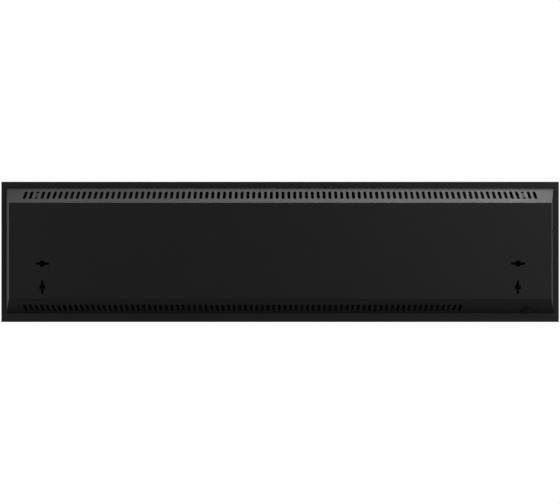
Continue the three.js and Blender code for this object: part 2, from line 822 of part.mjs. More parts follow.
function cheek() {
  const front = innerFront;
  const section = foldedSheet(
    [
      [cheekInner - CHEEK_TAB, innerRear],
      [cheekInner + INNER_SHEET, innerRear],
      [cheekInner + INNER_SHEET, front],
      [cheekInner + INNER_SHEET + CHEEK_TAB, front],
    ],
    INNER_SHEET,
  );
  const wall = alongZ(section, floorTop + SEAT, shieldUnder - SHIELD_LIP - SEAT);
  return cut(
    fitted(wall),
    bar(cheekInner - OVERRUN, cheekInner + OVERRUN, spindleY, spindleZ, PASS_HOLE_RADIUS),
  );
}

function addCheeks() {
  const side = cheek();
  add("firebox_side_right", side, blackCoat);
  add("firebox_side_left", turnedOver(side), blackCoat);
}

function addScreen() {
  const half = cheekInner - SEAT;
  add(
    "flame_screen",
    block(
      -half,
      half,
      screenBack - SCREEN_THICKNESS,
      screenBack,
      floorTop + SEAT,
      shieldUnder - SEAT,
    ),
    smokedAcrylic,
  );
}

// One lick of flame, cut through the mask, leaning to one side
function flame(u, foot, lean) {
  const w = FLAME_WIDTH / 2;
  const h = FLAME_HEIGHT;
  const s = new THREE.Shape();
  s.moveTo(u - w / 2, foot);
  s.quadraticCurveTo(u - w, foot + h / 3, u - lean * w, foot + h / 2);
  s.quadraticCurveTo(u + (lean * w) / 2, foot + (3 * h) / 4, u + lean * w, foot + h);
  s.quadraticCurveTo(u + w, foot + h / 3, u + w / 2, foot);
  s.closePath();
  return s;
}

function addMask() {
  const half = cheekInner - SEAT;
  const low = floorTop + SEAT;
  const count = Math.floor((2 * half) / FLAME_PITCH);
  const flames = Array.from({ length: count }, (_, i) => {
    const u = (i - (count - 1) / 2) * FLAME_PITCH;
    return flame(u, low + FLAME_FOOT, i % 2 ? FLAME_LEAN_SHARE : -FLAME_LEAN_SHARE);
  });
  const plate = rectangle(-half, half, low, low + MASK_HEIGHT);
  plate.holes.push(...flames);
  add(
    "flame_mask",
    towardsRoom(plate, maskBack, maskBack - MASK_SHEET, FLAME_STEPS),
    blackCoat,
  );
}

// Ember bed
const trayRear = screenBack - SCREEN_THICKNESS - SEAT;
const trayFloor = floorTop + TRAY_RAISE;

function addTray() {
  const half = cheekInner - 2 * SEAT;
  const front = innerFront;
  const section = polygon([
    [front, floorTop + SEAT],
    [front + TRAY_LEG_WIDTH, floorTop + SEAT],
    [front + TRAY_LEG_WIDTH, trayFloor],
    [trayRear - TRAY_LEG_WIDTH, trayFloor],
    [trayRear - TRAY_LEG_WIDTH, floorTop + SEAT],
    [trayRear, floorTop + SEAT],
    [trayRear, floorTop + TRAY_REAR_HEIGHT],
    [trayRear - TRAY_WALL, floorTop + TRAY_REAR_HEIGHT],
    [trayRear - TRAY_WALL, trayFloor + TRAY_WALL],
    [front + TRAY_WALL, trayFloor + TRAY_WALL],
    [front + TRAY_WALL, floorTop + TRAY_FRONT_HEIGHT],
    [front, floorTop + TRAY_FRONT_HEIGHT],
  ]);
  add("ember_tray", alongX(section, -half, half), clearAcrylic);

  const middle = (front + trayRear) / 2;
  add(
    "ember_light_board",
    block(
      -half,
      half,
      middle - EMBER_BOARD_WIDTH / 2,
      middle + EMBER_BOARD_WIDTH / 2,
      floorTop + SEAT,
      floorTop + SEAT + BOARD_THICKNESS,
    ),
    circuitBoard,
  );
}

// The crystals as one faceted ridge: its cross-section wanders from place to place
function addCrystals() {
  const half = cheekInner - 2 * TRAY_WALL;
  const low = trayFloor + TRAY_WALL + SEAT;
  const rear = trayRear - TRAY_WALL - SEAT;
  const front = innerFront + TRAY_WALL + SEAT;
  const count = Math.round((2 * half) / BED_PITCH);
  const wander = (i, k) => (Math.sin(WANDER_RATE * (i + 1) * (k + 1)) + 1) / 2;
  const rings = [];
  for (let i = 0; i <= count; i++) {
    const x = -half + (2 * half * i) / count;
    const lift = (k) =>
      low + BED_HEIGHT * (BED_LEAST_SHARE + (1 - BED_LEAST_SHARE) * wander(i, k));
    const width = rear - front;
    rings.push([
      [x, front, low],
      [x, front, low + (BED_HEIGHT / 2) * wander(i, 1) + TRAY_WALL],
      [x, front + width * (BED_FRONT_SHARE + BED_WANDER_SHARE * wander(i, 2)), lift(3)],
      [x, front + width * (BED_REAR_SHARE + BED_WANDER_SHARE * wander(i, 4)), lift(5)],
      [x, rear, low + (BED_HEIGHT / 2) * wander(i, 6) + TRAY_WALL],
      [x, rear, low],
    ]);
  }
  add("crystal_bed", loft(rings), crystal);
}

// A closed body through rings of points, each ring turning the same way about +X
function loft(rings) {
  const points = [];
  const quad = (a, b, c, d) => points.push(...a, ...b, ...c, ...a, ...c, ...d);
  const n = rings[0].length;
  for (let i = 0; i + 1 < rings.length; i++)
    for (let k = 0; k < n; k++)
      quad(
        rings[i][k],
        rings[i][(k + 1) % n],
        rings[i + 1][(k + 1) % n],
        rings[i + 1][k],
      );
  const cap = (r, turn) => {
    for (let k = 1; k + 1 < n; k++)
      points.push(...r[0], ...r[turn ? k + 1 : k], ...r[turn ? k : k + 1]);
  };
  cap(rings[0], true);
  cap(rings[rings.length - 1], false);
  const g = new THREE.BufferGeometry();
  g.setAttribute("position", new THREE.Float32BufferAttribute(points, 3));
  if (solid(g).volume() < 0) {
    const p = g.getAttribute("position");
    for (let i = 0; i < p.count; i += 3) {
      const b = new THREE.Vector3().fromBufferAttribute(p, i + 1);
      const c = new THREE.Vector3().fromBufferAttribute(p, i + 2);
      p.setXYZ(i + 1, c.x, c.y, c.z);
      p.setXYZ(i + 2, b.x, b.y, b.z);
    }
  }
  return g;
}

// Flame spindle
const spindle = new THREE.Group();
spindle.position.set(0, spindleY, spindleZ);
fireplace.add(spindle);

const bushOuter = cheekInner - END_BUSH_GAP; // outer face of the end bushes
const spanLength = (2 * bushOuter - BUSH_THICKNESS) / SPINDLE_SPANS;
const motorPlate = -(cheekInner + INNER_SHEET + MOTOR_GAP); // left plate's inner face

function addBushes() {
  const half = BUSH_WIDTH / 2;
  const section = windowed(
    polygon([
      [spindleY - half, floorTop + SEAT],
      [spindleY + half, floorTop + SEAT],
      [spindleY + half, spindleZ],
      [spindleY + half / 2, spindleZ + BUSH_HEAD],
      [spindleY - half / 2, spindleZ + BUSH_HEAD],
      [spindleY - half, spindleZ],
    ]),
    disc(spindleY, spindleZ, BUSH_BORE_RADIUS),
  );
  for (let i = 0; i <= SPINDLE_SPANS; i++) {
    const x = -bushOuter + i * spanLength;
    add(`spindle_bush_${i + 1}`, alongX(section, x, x + BUSH_THICKNESS, SHAFT_SIDES), whitePlastic);
  }
}

// A hub with thin wings that twist along it
function vane(length) {
  const half = VANE_SHEET / 2;
  const wing = (2 * Math.PI) / VANE_WINGS;
  const root = Math.asin(half / VANE_HUB_RADIUS);
  const tip = Math.asin(half / VANE_RADIUS);
  const at = (r, a) => [r * Math.cos(a), r * Math.sin(a)];
  const outline = [];
  for (let i = 0; i < VANE_WINGS; i++) {
    const a = i * wing;
    outline.push(at(VANE_HUB_RADIUS, a - root), at(VANE_RADIUS, a - tip));
    outline.push(at(VANE_RADIUS, a + tip), at(VANE_HUB_RADIUS, a + root));
    outline.push(at(VANE_HUB_RADIUS, a + wing / 2));
  }
  const section = windowed(polygon(outline), disc(0, 0, VANE_BORE_RADIUS));
  const g = new THREE.ExtrudeGeometry(section, {
    depth: length,
    steps: FOLD_STEPS,
    bevelEnabled: false,
    curveSegments: FOLD_STEPS + 1,
  });
  const p = g.getAttribute("position");
  for (let i = 0; i < p.count; i++) {
    const turn = (VANE_TWIST * p.getZ(i)) / length;
    const v = new THREE.Vector2(p.getX(i), p.getY(i)).rotateAround(new THREE.Vector2(), turn);
    p.setXY(i, v.x, v.y);
  }
  return g.applyMatrix4(ALONG_X);
}

function addSpindle() {
  const left = motorPlate + COUPLING_LENGTH / 2;
  add(
    "spindle_rod",
    bar(left, bushOuter + ROD_TAIL - BUSH_THICKNESS, 0, 0, ROD_RADIUS),
    galvanised,
    spindle,
  );
  const free = spanLength - BUSH_THICKNESS;
  const room = free / VANES_PER_SPAN;
  for (let i = 0; i < SPINDLE_SPANS; i++)
    for (let k = 0; k < VANES_PER_SPAN; k++) {
      const number = i * VANES_PER_SPAN + k + 1;
      const x = -bushOuter + BUSH_THICKNESS + i * spanLength + k * room + VANE_GAP / 2;
      const mesh = add(`reflector_vane_${number}`, vane(room - VANE_GAP), mirrorSteel, spindle);
      mesh.position.x = x;
      mesh.rotation.x = number * VANE_TWIST;
    }
  const sleeve = windowed(disc(0, 0, COUPLING_RADIUS), disc(0, 0, ROD_RADIUS + SEAT));
  const narrow = windowed(disc(0, 0, COUPLING_RADIUS), disc(0, 0, MOTOR_SHAFT_RADIUS + SEAT));
  const start = motorPlate + SEAT;
  add(
    "spindle_coupling",
    join(
      alongX(narrow, start, left - SEAT, SHAFT_SIDES),
      alongX(sleeve, left - SEAT, start + COUPLING_LENGTH, SHAFT_SIDES),
    ),
    foam,
    spindle,
  );
  add(
    "spindle_motor_shaft",
    bar(motorPlate - INNER_SHEET, left - 2 * SEAT, 0, 0, MOTOR_SHAFT_RADIUS),
    galvanised,
    spindle,
  );
}

function addSpindleMotor() {
  const outer = motorPlate - INNER_SHEET;
  const plate = windowed(
    rectangle(spindleY - MOTOR_RADIUS, spindleY + MOTOR_RADIUS, floorTop + SEAT, spindleZ + MOTOR_RADIUS),
    disc(spindleY, spindleZ, MOTOR_SHAFT_RADIUS + SEAT),
  );
  const foot = block(
    outer,
    motorPlate + PLATE_FOOT,
    spindleY - MOTOR_RADIUS,
    spindleY + MOTOR_RADIUS,
    floorTop + SEAT,
    floorTop + SEAT + INNER_SHEET,
  );
  add(
    "spindle_motor_plate",
    fitted(join(alongX(plate, outer, motorPlate, SHAFT_SIDES), foot)),
    galvanised,
  );
  const can = outer - SEAT;
  const ear = block(
    can - INNER_SHEET,
    can,
    spindleY - MOTOR_EAR_WIDTH / 2,
    spindleY + MOTOR_EAR_WIDTH / 2,
    spindleZ,
    spindleZ + MOTOR_RADIUS + MOTOR_EAR_REACH,
  );
  add(
    "spindle_motor",
    join(
      bar(can - MOTOR_THICKNESS, can, spindleY, spindleZ, MOTOR_RADIUS, 0, 2 * SHAFT_SIDES),
      ear,
    ),
    aluminium,
  );
}

function addFlameBoard() {
  add(
    "flame_light_board",
    block(
      -cheekInner + SEAT,
      cheekInner - SEAT,
      maskBack + SEAT,
      spindleY - BUSH_WIDTH / 2 - SEAT,
      floorTop + SEAT,
      floorTop + SEAT + BOARD_THICKNESS,
    ),
    circuitBoard,
  );
}

// Blower
const fanY = faceFront * BLOWER_DEPTH_SHARE;
const fanZ = rearTop - BLOWER_DROP;
const fan = new THREE.Group();
fan.position.set(0, fanY, fanZ);
fireplace.add(fan);

const roundFan = (angle, radius) => [
  fanY + radius * Math.cos(angle),
  fanZ + radius * Math.sin(angle),
];
const ductLow = outletBottom + DUCT_LIP_GAP;
const ductHigh = outletTop - DUCT_LIP_GAP;

function addScroll() {
  const steps = 4 * FOLD_STEPS;
  const arc = (radius) =>
    Array.from({ length: steps + 1 }, (_, i) =>
      roundFan(SCROLL_FROM + ((SCROLL_TO - SCROLL_FROM) * i) / steps, radius),
    );
  const lip = [ductFront, ductLow];
  const inner = [...arc(SCROLL_RADIUS), lip];
  const outer = [...arc(SCROLL_RADIUS + SCROLL_SHEET), [ductFront, ductLow - SCROLL_SHEET]];
  add(
    "blower_scroll",
    alongX(polygon([...inner, ...outer.reverse()]), -blowerHalf + SEAT, blowerHalf - SEAT),
    blackCoat,
  );
  const [y, z] = roundFan(TONGUE_FROM, TONGUE_RADIUS);
  const tongue = foldedSheet(
    [
      [ductFront, ductHigh],
      [y, z],
      [y + TONGUE_TAIL_DEPTH, z + TONGUE_TAIL_HEIGHT],
    ].reverse(),
    SCROLL_SHEET,
  );
  add("blower_tongue", alongX(tongue, -blowerHalf + SEAT, blowerHalf - SEAT), blackCoat);
}

function addBlowerPlates() {
  const top = (y) => topInside(y) - BLOWER_PLATE_TOP_GAP;
  const foot = shieldTop + SEAT;
  const bendY = fanY - FAN_RADIUS;
  const outline = windowed(
    polygon([
      [-BLOWER_PLATE_REAR, foot],
      [-BLOWER_PLATE_REAR, top(-BLOWER_PLATE_REAR)],
      [bendY, top(bendY)],
      [ductFront, ductHigh + BLOWER_PLATE_LEAD],
      [ductFront, foot],
    ].reverse()),
    disc(fanY, fanZ, BLOWER_PLATE_BORE),
  );
  const plate = alongX(outline, blowerHalf, blowerOuter, SHAFT_SIDES);
  add("blower_end_right", plate, blackCoat);
  add("blower_end_left", turnedOver(plate), blackCoat);
}

// One blade, swept forwards from the inner radius to the outer
function fanBlade(angle) {
  const inner = FAN_RADIUS - FAN_BLADE_DEPTH;
  const sweep = FAN_BLADE_DEPTH / FAN_RADIUS;
  const at = (r, a, push) => {
    const t = angle + a;
    return [r * Math.cos(t) - push * Math.sin(t), r * Math.sin(t) + push * Math.cos(t)];
  };
  return polygon([
    at(inner, 0, 0),
    at(FAN_RADIUS, sweep, 0),
    at(FAN_RADIUS, sweep, FAN_BLADE_SHEET),
    at(inner, 0, FAN_BLADE_SHEET),
  ]);
}

function addFan() {
  const blades = Array.from({ length: FAN_BLADES }, (_, i) =>
    fanBlade((2 * Math.PI * i) / FAN_BLADES),
  );
  const pieces = [alongX(blades, -fanHalf, fanHalf)];
  for (let i = 0; i < FAN_DISCS; i++) {
    const x = -fanHalf + ((FAN_LENGTH - FAN_DISC) * i) / (FAN_DISCS - 1);
    const bore = i === 0 || i === FAN_DISCS - 1 ? SHAFT_BORE_RADIUS : FAN_RADIUS / 2;
    const round = bar(x, x + FAN_DISC, 0, 0, FAN_RADIUS - FAN_BLADE_SHEET, bore, FAN_BLADES);
    pieces.push(round);
  }
  const hub = (from) =>
    bar(from, from + FAN_HUB_LENGTH, 0, 0, FAN_HUB_RADIUS, SHAFT_BORE_RADIUS);
  pieces.push(hub(-fanHalf), hub(fanHalf - FAN_HUB_LENGTH));
  add("blower_fan", join(...pieces), blackPlastic, fan);
}

const coreInner = -(blowerOuter + CORE_GAP);
const coreOuter = coreInner - CORE_THICKNESS;
const bridgeInner = coreOuter - BRIDGE_STANDOFF;

function addFanShafts() {
  const shaft = bar(
    bridgeInner - BRIDGE_THICKNESS,
    -fanHalf + FAN_HUB_LENGTH,
    0,
    0,
    SHAFT_RADIUS,
  );
  const rotor = bar(coreOuter - SEAT, coreInner + SEAT, 0, 0, ROTOR_RADIUS, 0, 2 * SHAFT_SIDES);
  add("blower_motor_rotor", join(shaft, rotor), galvanised, fan);
  add(
    "blower_stub_axle",
    bar(fanHalf - FAN_HUB_LENGTH, blowerOuter + AXLE_TAIL, 0, 0, SHAFT_RADIUS),
    galvanised,
    fan,
  );
}

function addFanBearing() {
  const round = (radius) =>
    windowed(disc(fanY, fanZ, radius), disc(fanY, fanZ, SHAFT_BORE_RADIUS));
  const seat = blowerOuter + SEAT;
  add(
    "blower_bearing",
    join(
      alongX(round(BEARING_RADIUS), fanHalf + BEARING_NOSE, seat + SEAT, SHAFT_SIDES),
      alongX(round(BEARING_FLANGE_RADIUS), seat, seat + BEARING_FLANGE_THICKNESS, SHAFT_SIDES),
    ),
    foam,
  );
}

function addBlowerMotor() {
  const front = faceFront + CORE_FRONT_GAP;
  const rear = fanY + CORE_BACK;
  const low = fanZ - CORE_HALF_HEIGHT;
  const high = fanZ + CORE_HALF_HEIGHT;
  const windowFront = front + CORE_LIMB;
  const windowRear = windowFront + CORE_WINDOW;
  const core = windowed(
    rectangle(front, rear, low, high),
    disc(fanY, fanZ, ROTOR_HOLE_RADIUS),
    rectangle(windowFront, windowRear, low + CORE_YOKE, high - CORE_YOKE),
  );
  add("blower_motor_core", alongX(core, coreOuter, coreInner, 2 * SHAFT_SIDES), galvanised);

  const bore = windowed(
    rectangle(
      coreOuter - SEAT - COIL_WALL,
      coreInner + SEAT + COIL_WALL,
      front - SEAT - COIL_WALL,
      windowFront + SEAT + COIL_WALL,
    ),
    rectangle(coreOuter - SEAT, coreInner + SEAT, front - SEAT, windowFront + SEAT),
  );
  add(
    "blower_motor_coil",
    alongZ(bore, low + CORE_YOKE + COIL_END_GAP, high - CORE_YOKE - COIL_END_GAP),
    enamelledCopper,
  );

  const half = BRIDGE_LENGTH / 2;
  const bridge = windowed(
    rectangle(fanY - BRIDGE_WIDTH / 2, fanY + BRIDGE_WIDTH / 2, fanZ - half, fanZ + half),
    disc(fanY, fanZ, SHAFT_BORE_RADIUS),
  );
  const from = bridgeInner - BRIDGE_THICKNESS;
  const post = (z) => bar(from, coreOuter - SEAT, fanY, z, POST_RADIUS);
  add(
    "blower_motor_bridge",
    join(
      alongX(bridge, from, bridgeInner, SHAFT_SIDES),
      post(fanZ - half + POST_RADIUS),
      post(fanZ + half - POST_RADIUS),
    ),
    aluminium,
  );
}

// Motor cradle: carries the core on the blower's left end plate
function addMotorCradle() {
  const low = fanZ - CORE_HALF_HEIGHT - SEAT;
  const front = faceFront + CORE_FRONT_GAP;
  const rear = fanY + CORE_BACK;
  add(
    "blower_motor_cradle",
    join(
      block(coreOuter, -blowerOuter - SEAT, front, rear, low - INNER_SHEET, low),
      block(
        -blowerOuter - SEAT - INNER_SHEET,
        -blowerOuter - SEAT,
        front,
        fanY - CORE_HALF_HEIGHT,
        low - INNER_SHEET,
        fanZ,
      ),
    ),
    galvanised,
  );
}

// Heater
const elementLow = shieldTop + ELEMENT_RAISE;
const elementHigh = elementLow + ELEMENT_HEIGHT;
const elementRear = faceFront * ELEMENT_DEPTH_SHARE + ELEMENT_THICKNESS / 2;
const elementFront = elementRear - ELEMENT_THICKNESS;

function addElement() {
  const half = blowerHalf - ELEMENT_END_GAP;
  const rail = (z) => block(-half, half, elementFront, elementRear, z, z + ELEMENT_RAIL);
  const middle = (elementLow + elementHigh - ELEMENT_RAIL) / 2;
  const pieces = [rail(elementLow), rail(middle), rail(elementHigh - ELEMENT_RAIL)];
  const count = Math.floor((2 * half) / ELEMENT_FIN_PITCH);
  for (let i = 0; i <= count; i++) {
    const x = -half + ((2 * half - ELEMENT_FIN) * i) / count;
    pieces.push(
      block(
        x,
        x + ELEMENT_FIN,
        elementFront + ELEMENT_FIN,
        elementRear - ELEMENT_FIN,
        elementLow + ELEMENT_FIN,
        elementHigh - ELEMENT_FIN,
      ),
    );
  }
  add("heating_element", join(...pieces), aluminium);
  const holder = block(
    half + SEAT,
    half + SEAT + HOLDER_LENGTH,
    elementFront,
    elementRear,
    elementLow,
    elementHigh,
  );
  const strap = block(
    half + SEAT + HOLDER_LENGTH - ELEMENT_RAIL,
    blowerHalf - SEAT,
    elementFront,
    elementRear,
    elementLow + ELEMENT_RAIL,
    elementHigh - ELEMENT_RAIL,
  );
  const end = join(holder, strap);
  add("element_holder_right", end, whitePlastic);
  add("element_holder_left", turnedOver(end), whitePlastic);
}

function addCutout() {
  const [y, z] = roundFan(TONGUE_FROM, TONGUE_RADIUS);
  const run = new THREE.Vector3(0, ductFront - y, ductHigh - z).normalize();
  const up = new THREE.Vector3(1, 0, 0).cross(run).negate();
  const holder = new THREE.Group();
  const base = SCROLL_SHEET + SEAT;
  holder.position.set(
    CUTOUT_OFFSET,
    y + run.y * CUTOUT_ALONG + up.y * base,
    z + run.z * CUTOUT_ALONG + up.z * base,
  );
  holder.quaternion.setFromUnitVectors(new THREE.Vector3(0, 0, 1), up);
  fireplace.add(holder);
  const body = alongZ(disc(0, 0, CUTOUT_RADIUS), 0, CUTOUT_HEIGHT, SHAFT_SIDES);
  add("thermal_cutout", body, blackPlastic, holder);
}

// Boards, supply and switch
function addBoards() {
  const left = -(cheekInner - MAIN_BOARD_FROM_SIDE);
  const right = left + MAIN_BOARD_LENGTH;
  const rear = boardFront + MAIN_BOARD_WIDTH;
  const low = shieldTop + MAIN_BOARD_RAISE;
  const top = low + BOARD_THICKNESS;
  const foot = (x) =>
    block(
      x,
      x + MAIN_BOARD_RAISE,
      boardFront,
      rear,
      shieldTop + SEAT,
      low + BOARD_THICKNESS / 2,
    );
  const relay = (x) =>
    block(
      x,
      x + RELAY_LENGTH,
      rear - RELAY_WIDTH - MAIN_BOARD_RAISE,
      rear - MAIN_BOARD_RAISE,
      low,
      top + RELAY_HEIGHT,
    );
  add(
    "main_board",
    join(
      block(left, right, boardFront, rear, low, top),
      foot(left),
      foot(right - MAIN_BOARD_RAISE),
      relay(left + RELAY_FIRST),
      relay(left + RELAY_FIRST + RELAY_PITCH),
    ),
    circuitBoard,
  );
  const driver = cheekInner - DRIVER_FROM_SIDE;
  add(
    "light_driver",
    block(
      driver - DRIVER_LENGTH,
      driver,
      boardFront,
      boardFront + DRIVER_WIDTH,
      shieldTop + SEAT,
      shieldTop + SEAT + DRIVER_HEIGHT,
    ),
    blackPlastic,
  );
  const terminal = TERMINAL_LENGTH + TERMINAL_FROM_SIDE - cheekInner;
  add(
    "terminal_block",
    block(
      terminal - TERMINAL_LENGTH,
      terminal,
      boardFront,
      boardFront + TERMINAL_WIDTH,
      shieldTop + SEAT,
      shieldTop + SEAT + TERMINAL_HEIGHT,
    ),
    whitePlastic,
  );
  const touch = faceHalf - TOUCH_END_MARGIN;
  add(
    "touch_board",
    block(
      touch - TOUCH_LENGTH,
      touch,
      glassBack + SEAT,
      glassBack + SEAT + BOARD_THICKNESS,
      faceTop - TOUCH_DROP - TOUCH_HEIGHT,
      faceTop - TOUCH_DROP,
    ),
    circuitBoard,
  );
}

// Rocker switch, in the left end panel's frame: x outwards is negative, y runs to the room
function addSwitch() {
  const holder = new THREE.Group();
  holder.position.set(0, -SWITCH_ALONG, SWITCH_RISE);
  leftEnd.add(holder);
  const hl = SWITCH_LENGTH / 2;
  const hw = SWITCH_WIDTH / 2;
  const gap = SEAT;
  const skin = CASING_SHEET;
  const bezel = block(
    -SWITCH_BEZEL_HEIGHT - gap,
    -gap,
    -hw - SWITCH_BEZEL,
    hw + SWITCH_BEZEL,
    -hl - SWITCH_BEZEL,
    hl + SWITCH_BEZEL,
  );
  const body = block(-gap, skin + SWITCH_BODY_DEPTH, -hw + gap, hw - gap, -hl + gap, hl - gap);
  const well = block(
    -SWITCH_BEZEL_HEIGHT - gap - OVERRUN,
    SWITCH_PIVOT_DEPTH + ROCKER_KEEL + OVERRUN,
    -hw + gap + SWITCH_WALL,
    hw - gap - SWITCH_WALL,
    -hl + gap + SWITCH_WALL,
    hl - gap - SWITCH_WALL,
  );
  add("power_switch_body", cut(join(bezel, body), well), blackPlastic, holder);

  const half = hl - gap - SWITCH_WALL - ROCKER_END_CLEARANCE;
  const wide = hw - gap - SWITCH_WALL - ROCKER_CLEARANCE;
  const crown = SWITCH_PIVOT_DEPTH + ROCKER_CROWN;
  const side = polygon(
    [
      [-half, -crown],
      [0, -crown + ROCKER_CROWN / 3],
      [half, -crown],
      [half, 0],
      [0, ROCKER_KEEL],
      [-half, 0],
    ].map(([along, out]) => [out, along]),
  );
  const rocker = extrude(side, 2 * wide).translate(0, 0, -wide);
  rocker.applyMatrix4(
    new THREE.Matrix4().makeBasis(
      new THREE.Vector3(1, 0, 0),
      new THREE.Vector3(0, 0, 1),
      new THREE.Vector3(0, -1, 0),
    ),
  );
  const pivot = new THREE.Group();
  pivot.position.x = SWITCH_PIVOT_DEPTH;
  pivot.rotation.y = -ROCKER_TILT;
  holder.add(pivot);
  add("power_switch_rocker", rocker, blackPlastic, pivot);
}

// Cord gland, square to the bottom wall
function addGland() {
  const holder = new THREE.Group();
  const frame = wallFrame(rearBottom, -BOTTOM_TAPER);
  const place = new THREE.Vector3(glandX, glandSpot, 0).applyMatrix4(frame);
  const outwards = new THREE.Vector3(0, 0, 1).transformDirection(frame);
  holder.position.copy(place);
  holder.quaternion.setFromUnitVectors(new THREE.Vector3(0, 0, 1), outwards);
  fireplace.add(holder);
  const turned = (points, sides) =>
    new THREE.LatheGeometry(
      points.map(([r, h]) => new THREE.Vector2(r, h)),
      sides,
    ).rotateX(Math.PI / 2);
  const sides = 2 * SHAFT_SIDES;
  const inside = -CASING_SHEET - GLAND_TAIL;
  add(
    "cord_gland",
    turned(
      [
        [GLAND_BORE_RADIUS, inside],
        [GLAND_THREAD_RADIUS, inside],
        [GLAND_THREAD_RADIUS, SEAT],
        [GLAND_FLANGE_RADIUS, SEAT],
        [GLAND_FLANGE_RADIUS, GLAND_FLANGE_HEIGHT],
        [GLAND_BOSS_RADIUS, GLAND_FLANGE_HEIGHT],
        [GLAND_BOSS_RADIUS, GLAND_HEIGHT],
        [GLAND_BORE_RADIUS, GLAND_HEIGHT],
        [GLAND_BORE_RADIUS, inside],
      ],
      sides,
    ),
    blackPlastic,
    holder,
  );
  const from = -CASING_SHEET - SEAT - NUT_HEIGHT;
  const corner = (k) => (k * 2 * Math.PI) / NUT_SIDES;
  const hexagon = Array.from({ length: NUT_SIDES }, (_, k) => [
    NUT_RADIUS * Math.cos(corner(k)),
    NUT_RADIUS * Math.sin(corner(k)),
  ]);
  const nut = windowed(polygon(hexagon), disc(0, 0, GLAND_THREAD_RADIUS + 2 * SEAT));
  add("gland_nut", alongZ(nut, from, from + NUT_HEIGHT, SHAFT_SIDES), blackPlastic, holder);
}

addCasing();
addEndPanels();
addFrame();
addGlass();
addGrille();
addShield();
addFloor();
addCheeks();
addScreen();
addMask();
addTray();
addCrystals();
addBushes();
addSpindle();
addSpindleMotor();
addFlameBoard();
addScroll();
addBlowerPlates();
addFan();
addFanShafts();
addFanBearing();
addBlowerMotor();
addMotorCradle();
addElement();
addCutout();
addBoards();
addSwitch();
addGland();

export default fireplace;
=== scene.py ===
# Finishes, fine pieces and stage for a slim linear electric fireplace, seen from behind.
# Metres, +Z up, the room is on the -Y side and the wall on the +Y side.
# Left and right are as seen from the room.
import json
import math

import bmesh
import bpy
from mathutils import Matrix, Vector
from mathutils.geometry import tessellate_polygon


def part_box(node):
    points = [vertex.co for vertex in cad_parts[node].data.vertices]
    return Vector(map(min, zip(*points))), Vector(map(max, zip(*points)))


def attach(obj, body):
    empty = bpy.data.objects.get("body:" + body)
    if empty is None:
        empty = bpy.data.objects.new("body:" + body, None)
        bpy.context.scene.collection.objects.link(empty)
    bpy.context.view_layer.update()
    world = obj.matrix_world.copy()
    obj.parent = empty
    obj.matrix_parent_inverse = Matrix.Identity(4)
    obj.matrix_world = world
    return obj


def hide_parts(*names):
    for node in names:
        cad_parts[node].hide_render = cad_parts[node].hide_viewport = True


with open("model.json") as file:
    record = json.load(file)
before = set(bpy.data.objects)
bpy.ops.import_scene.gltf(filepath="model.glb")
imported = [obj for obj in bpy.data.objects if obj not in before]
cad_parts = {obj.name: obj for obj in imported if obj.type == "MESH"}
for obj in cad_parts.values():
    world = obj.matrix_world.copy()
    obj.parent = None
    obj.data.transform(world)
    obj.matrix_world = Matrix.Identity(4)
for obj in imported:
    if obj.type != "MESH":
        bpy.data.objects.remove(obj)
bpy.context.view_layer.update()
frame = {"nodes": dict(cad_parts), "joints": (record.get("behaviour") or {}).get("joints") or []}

bl_info = {
    "name": "Linear fireplace",
    "version": (1, 0, 0),
    "blender": (4, 5, 0),
    "location": "3D View > Sidebar > Fireplace",
    "description": "Finishes and fine pieces of a wall-hung electric fireplace",
    "category": "Object",
}

MM = 0.001
SEED = 7

# The casing's folds, which place what sits on its leaning walls
REAR_HALF_HEIGHT = 155.05 * MM
CASING_DEPTH = 80 * MM
TOP_TAPER = 51.8 * MM
SCREW_FROM_CENTRE = 788.5 * MM
SCREW_ALONG_WALL = 48.5 * MM
KEYHOLE_FROM_CENTRE = 764 * MM

# The relays, from their tops almost down to the main board's face
RELAY_HEIGHT = 14.8 * MM


def linear(hex_colour):
    """An sRGB colour such as "#1e1e1f" as linear red, green and blue with full alpha."""
    channels = [int(hex_colour[i : i + 2], 16) / 255 for i in (1, 3, 5)]
    low = [c / 12.92 if c <= 0.04045 else ((c + 0.055) / 1.055) ** 2.4 for c in channels]
    return (*low, 1.0)


def per(millimetres):
    """How often a pattern of that spacing repeats in a metre."""
    return 1 / (millimetres * MM)


# Sizes and colours that a user would change
def colour(name, hex_colour, description):
    value = {"default": linear(hex_colour), "size": 4, "min": 0.0, "max": 1.0, "subtype": "COLOR"}
    return bpy.props.FloatVectorProperty(name=name, description=description, **value)


def length(name, metres, description):
    value = {"default": metres, "min": 0.0, "unit": "LENGTH", "subtype": "DISTANCE"}
    return bpy.props.FloatProperty(name=name, description=description, **value)


class FireplaceColours(bpy.types.PropertyGroup):
    coat: colour("Powder coat", "#1e1e1f", "Casing, end panels and trim frame")
    stove_paint: colour("Stove paint", "#0d0d0d", "Firebox, duct and glass carrier")
    glass: colour("Glass tint", "#e9eeee", "Tempered front glass")
    frit: colour("Printed border", "#060607", "Ceramic print on the back of the glass")
    marks: colour("Touch marks", "#8f9394", "Printed marks over the touch board")
    crystal: colour("Crystals", "#eef6f8", "Cast glass of the ember bed")
    smoke: colour("Flame screen", "#1a1b1d", "Smoked acrylic that the flames are seen on")
    copper: colour("Winding", "#8f4318", "Enamelled wire of the fan motor")
    solder_mask: colour("Circuit boards", "#12402a", "Solder mask over the copper")


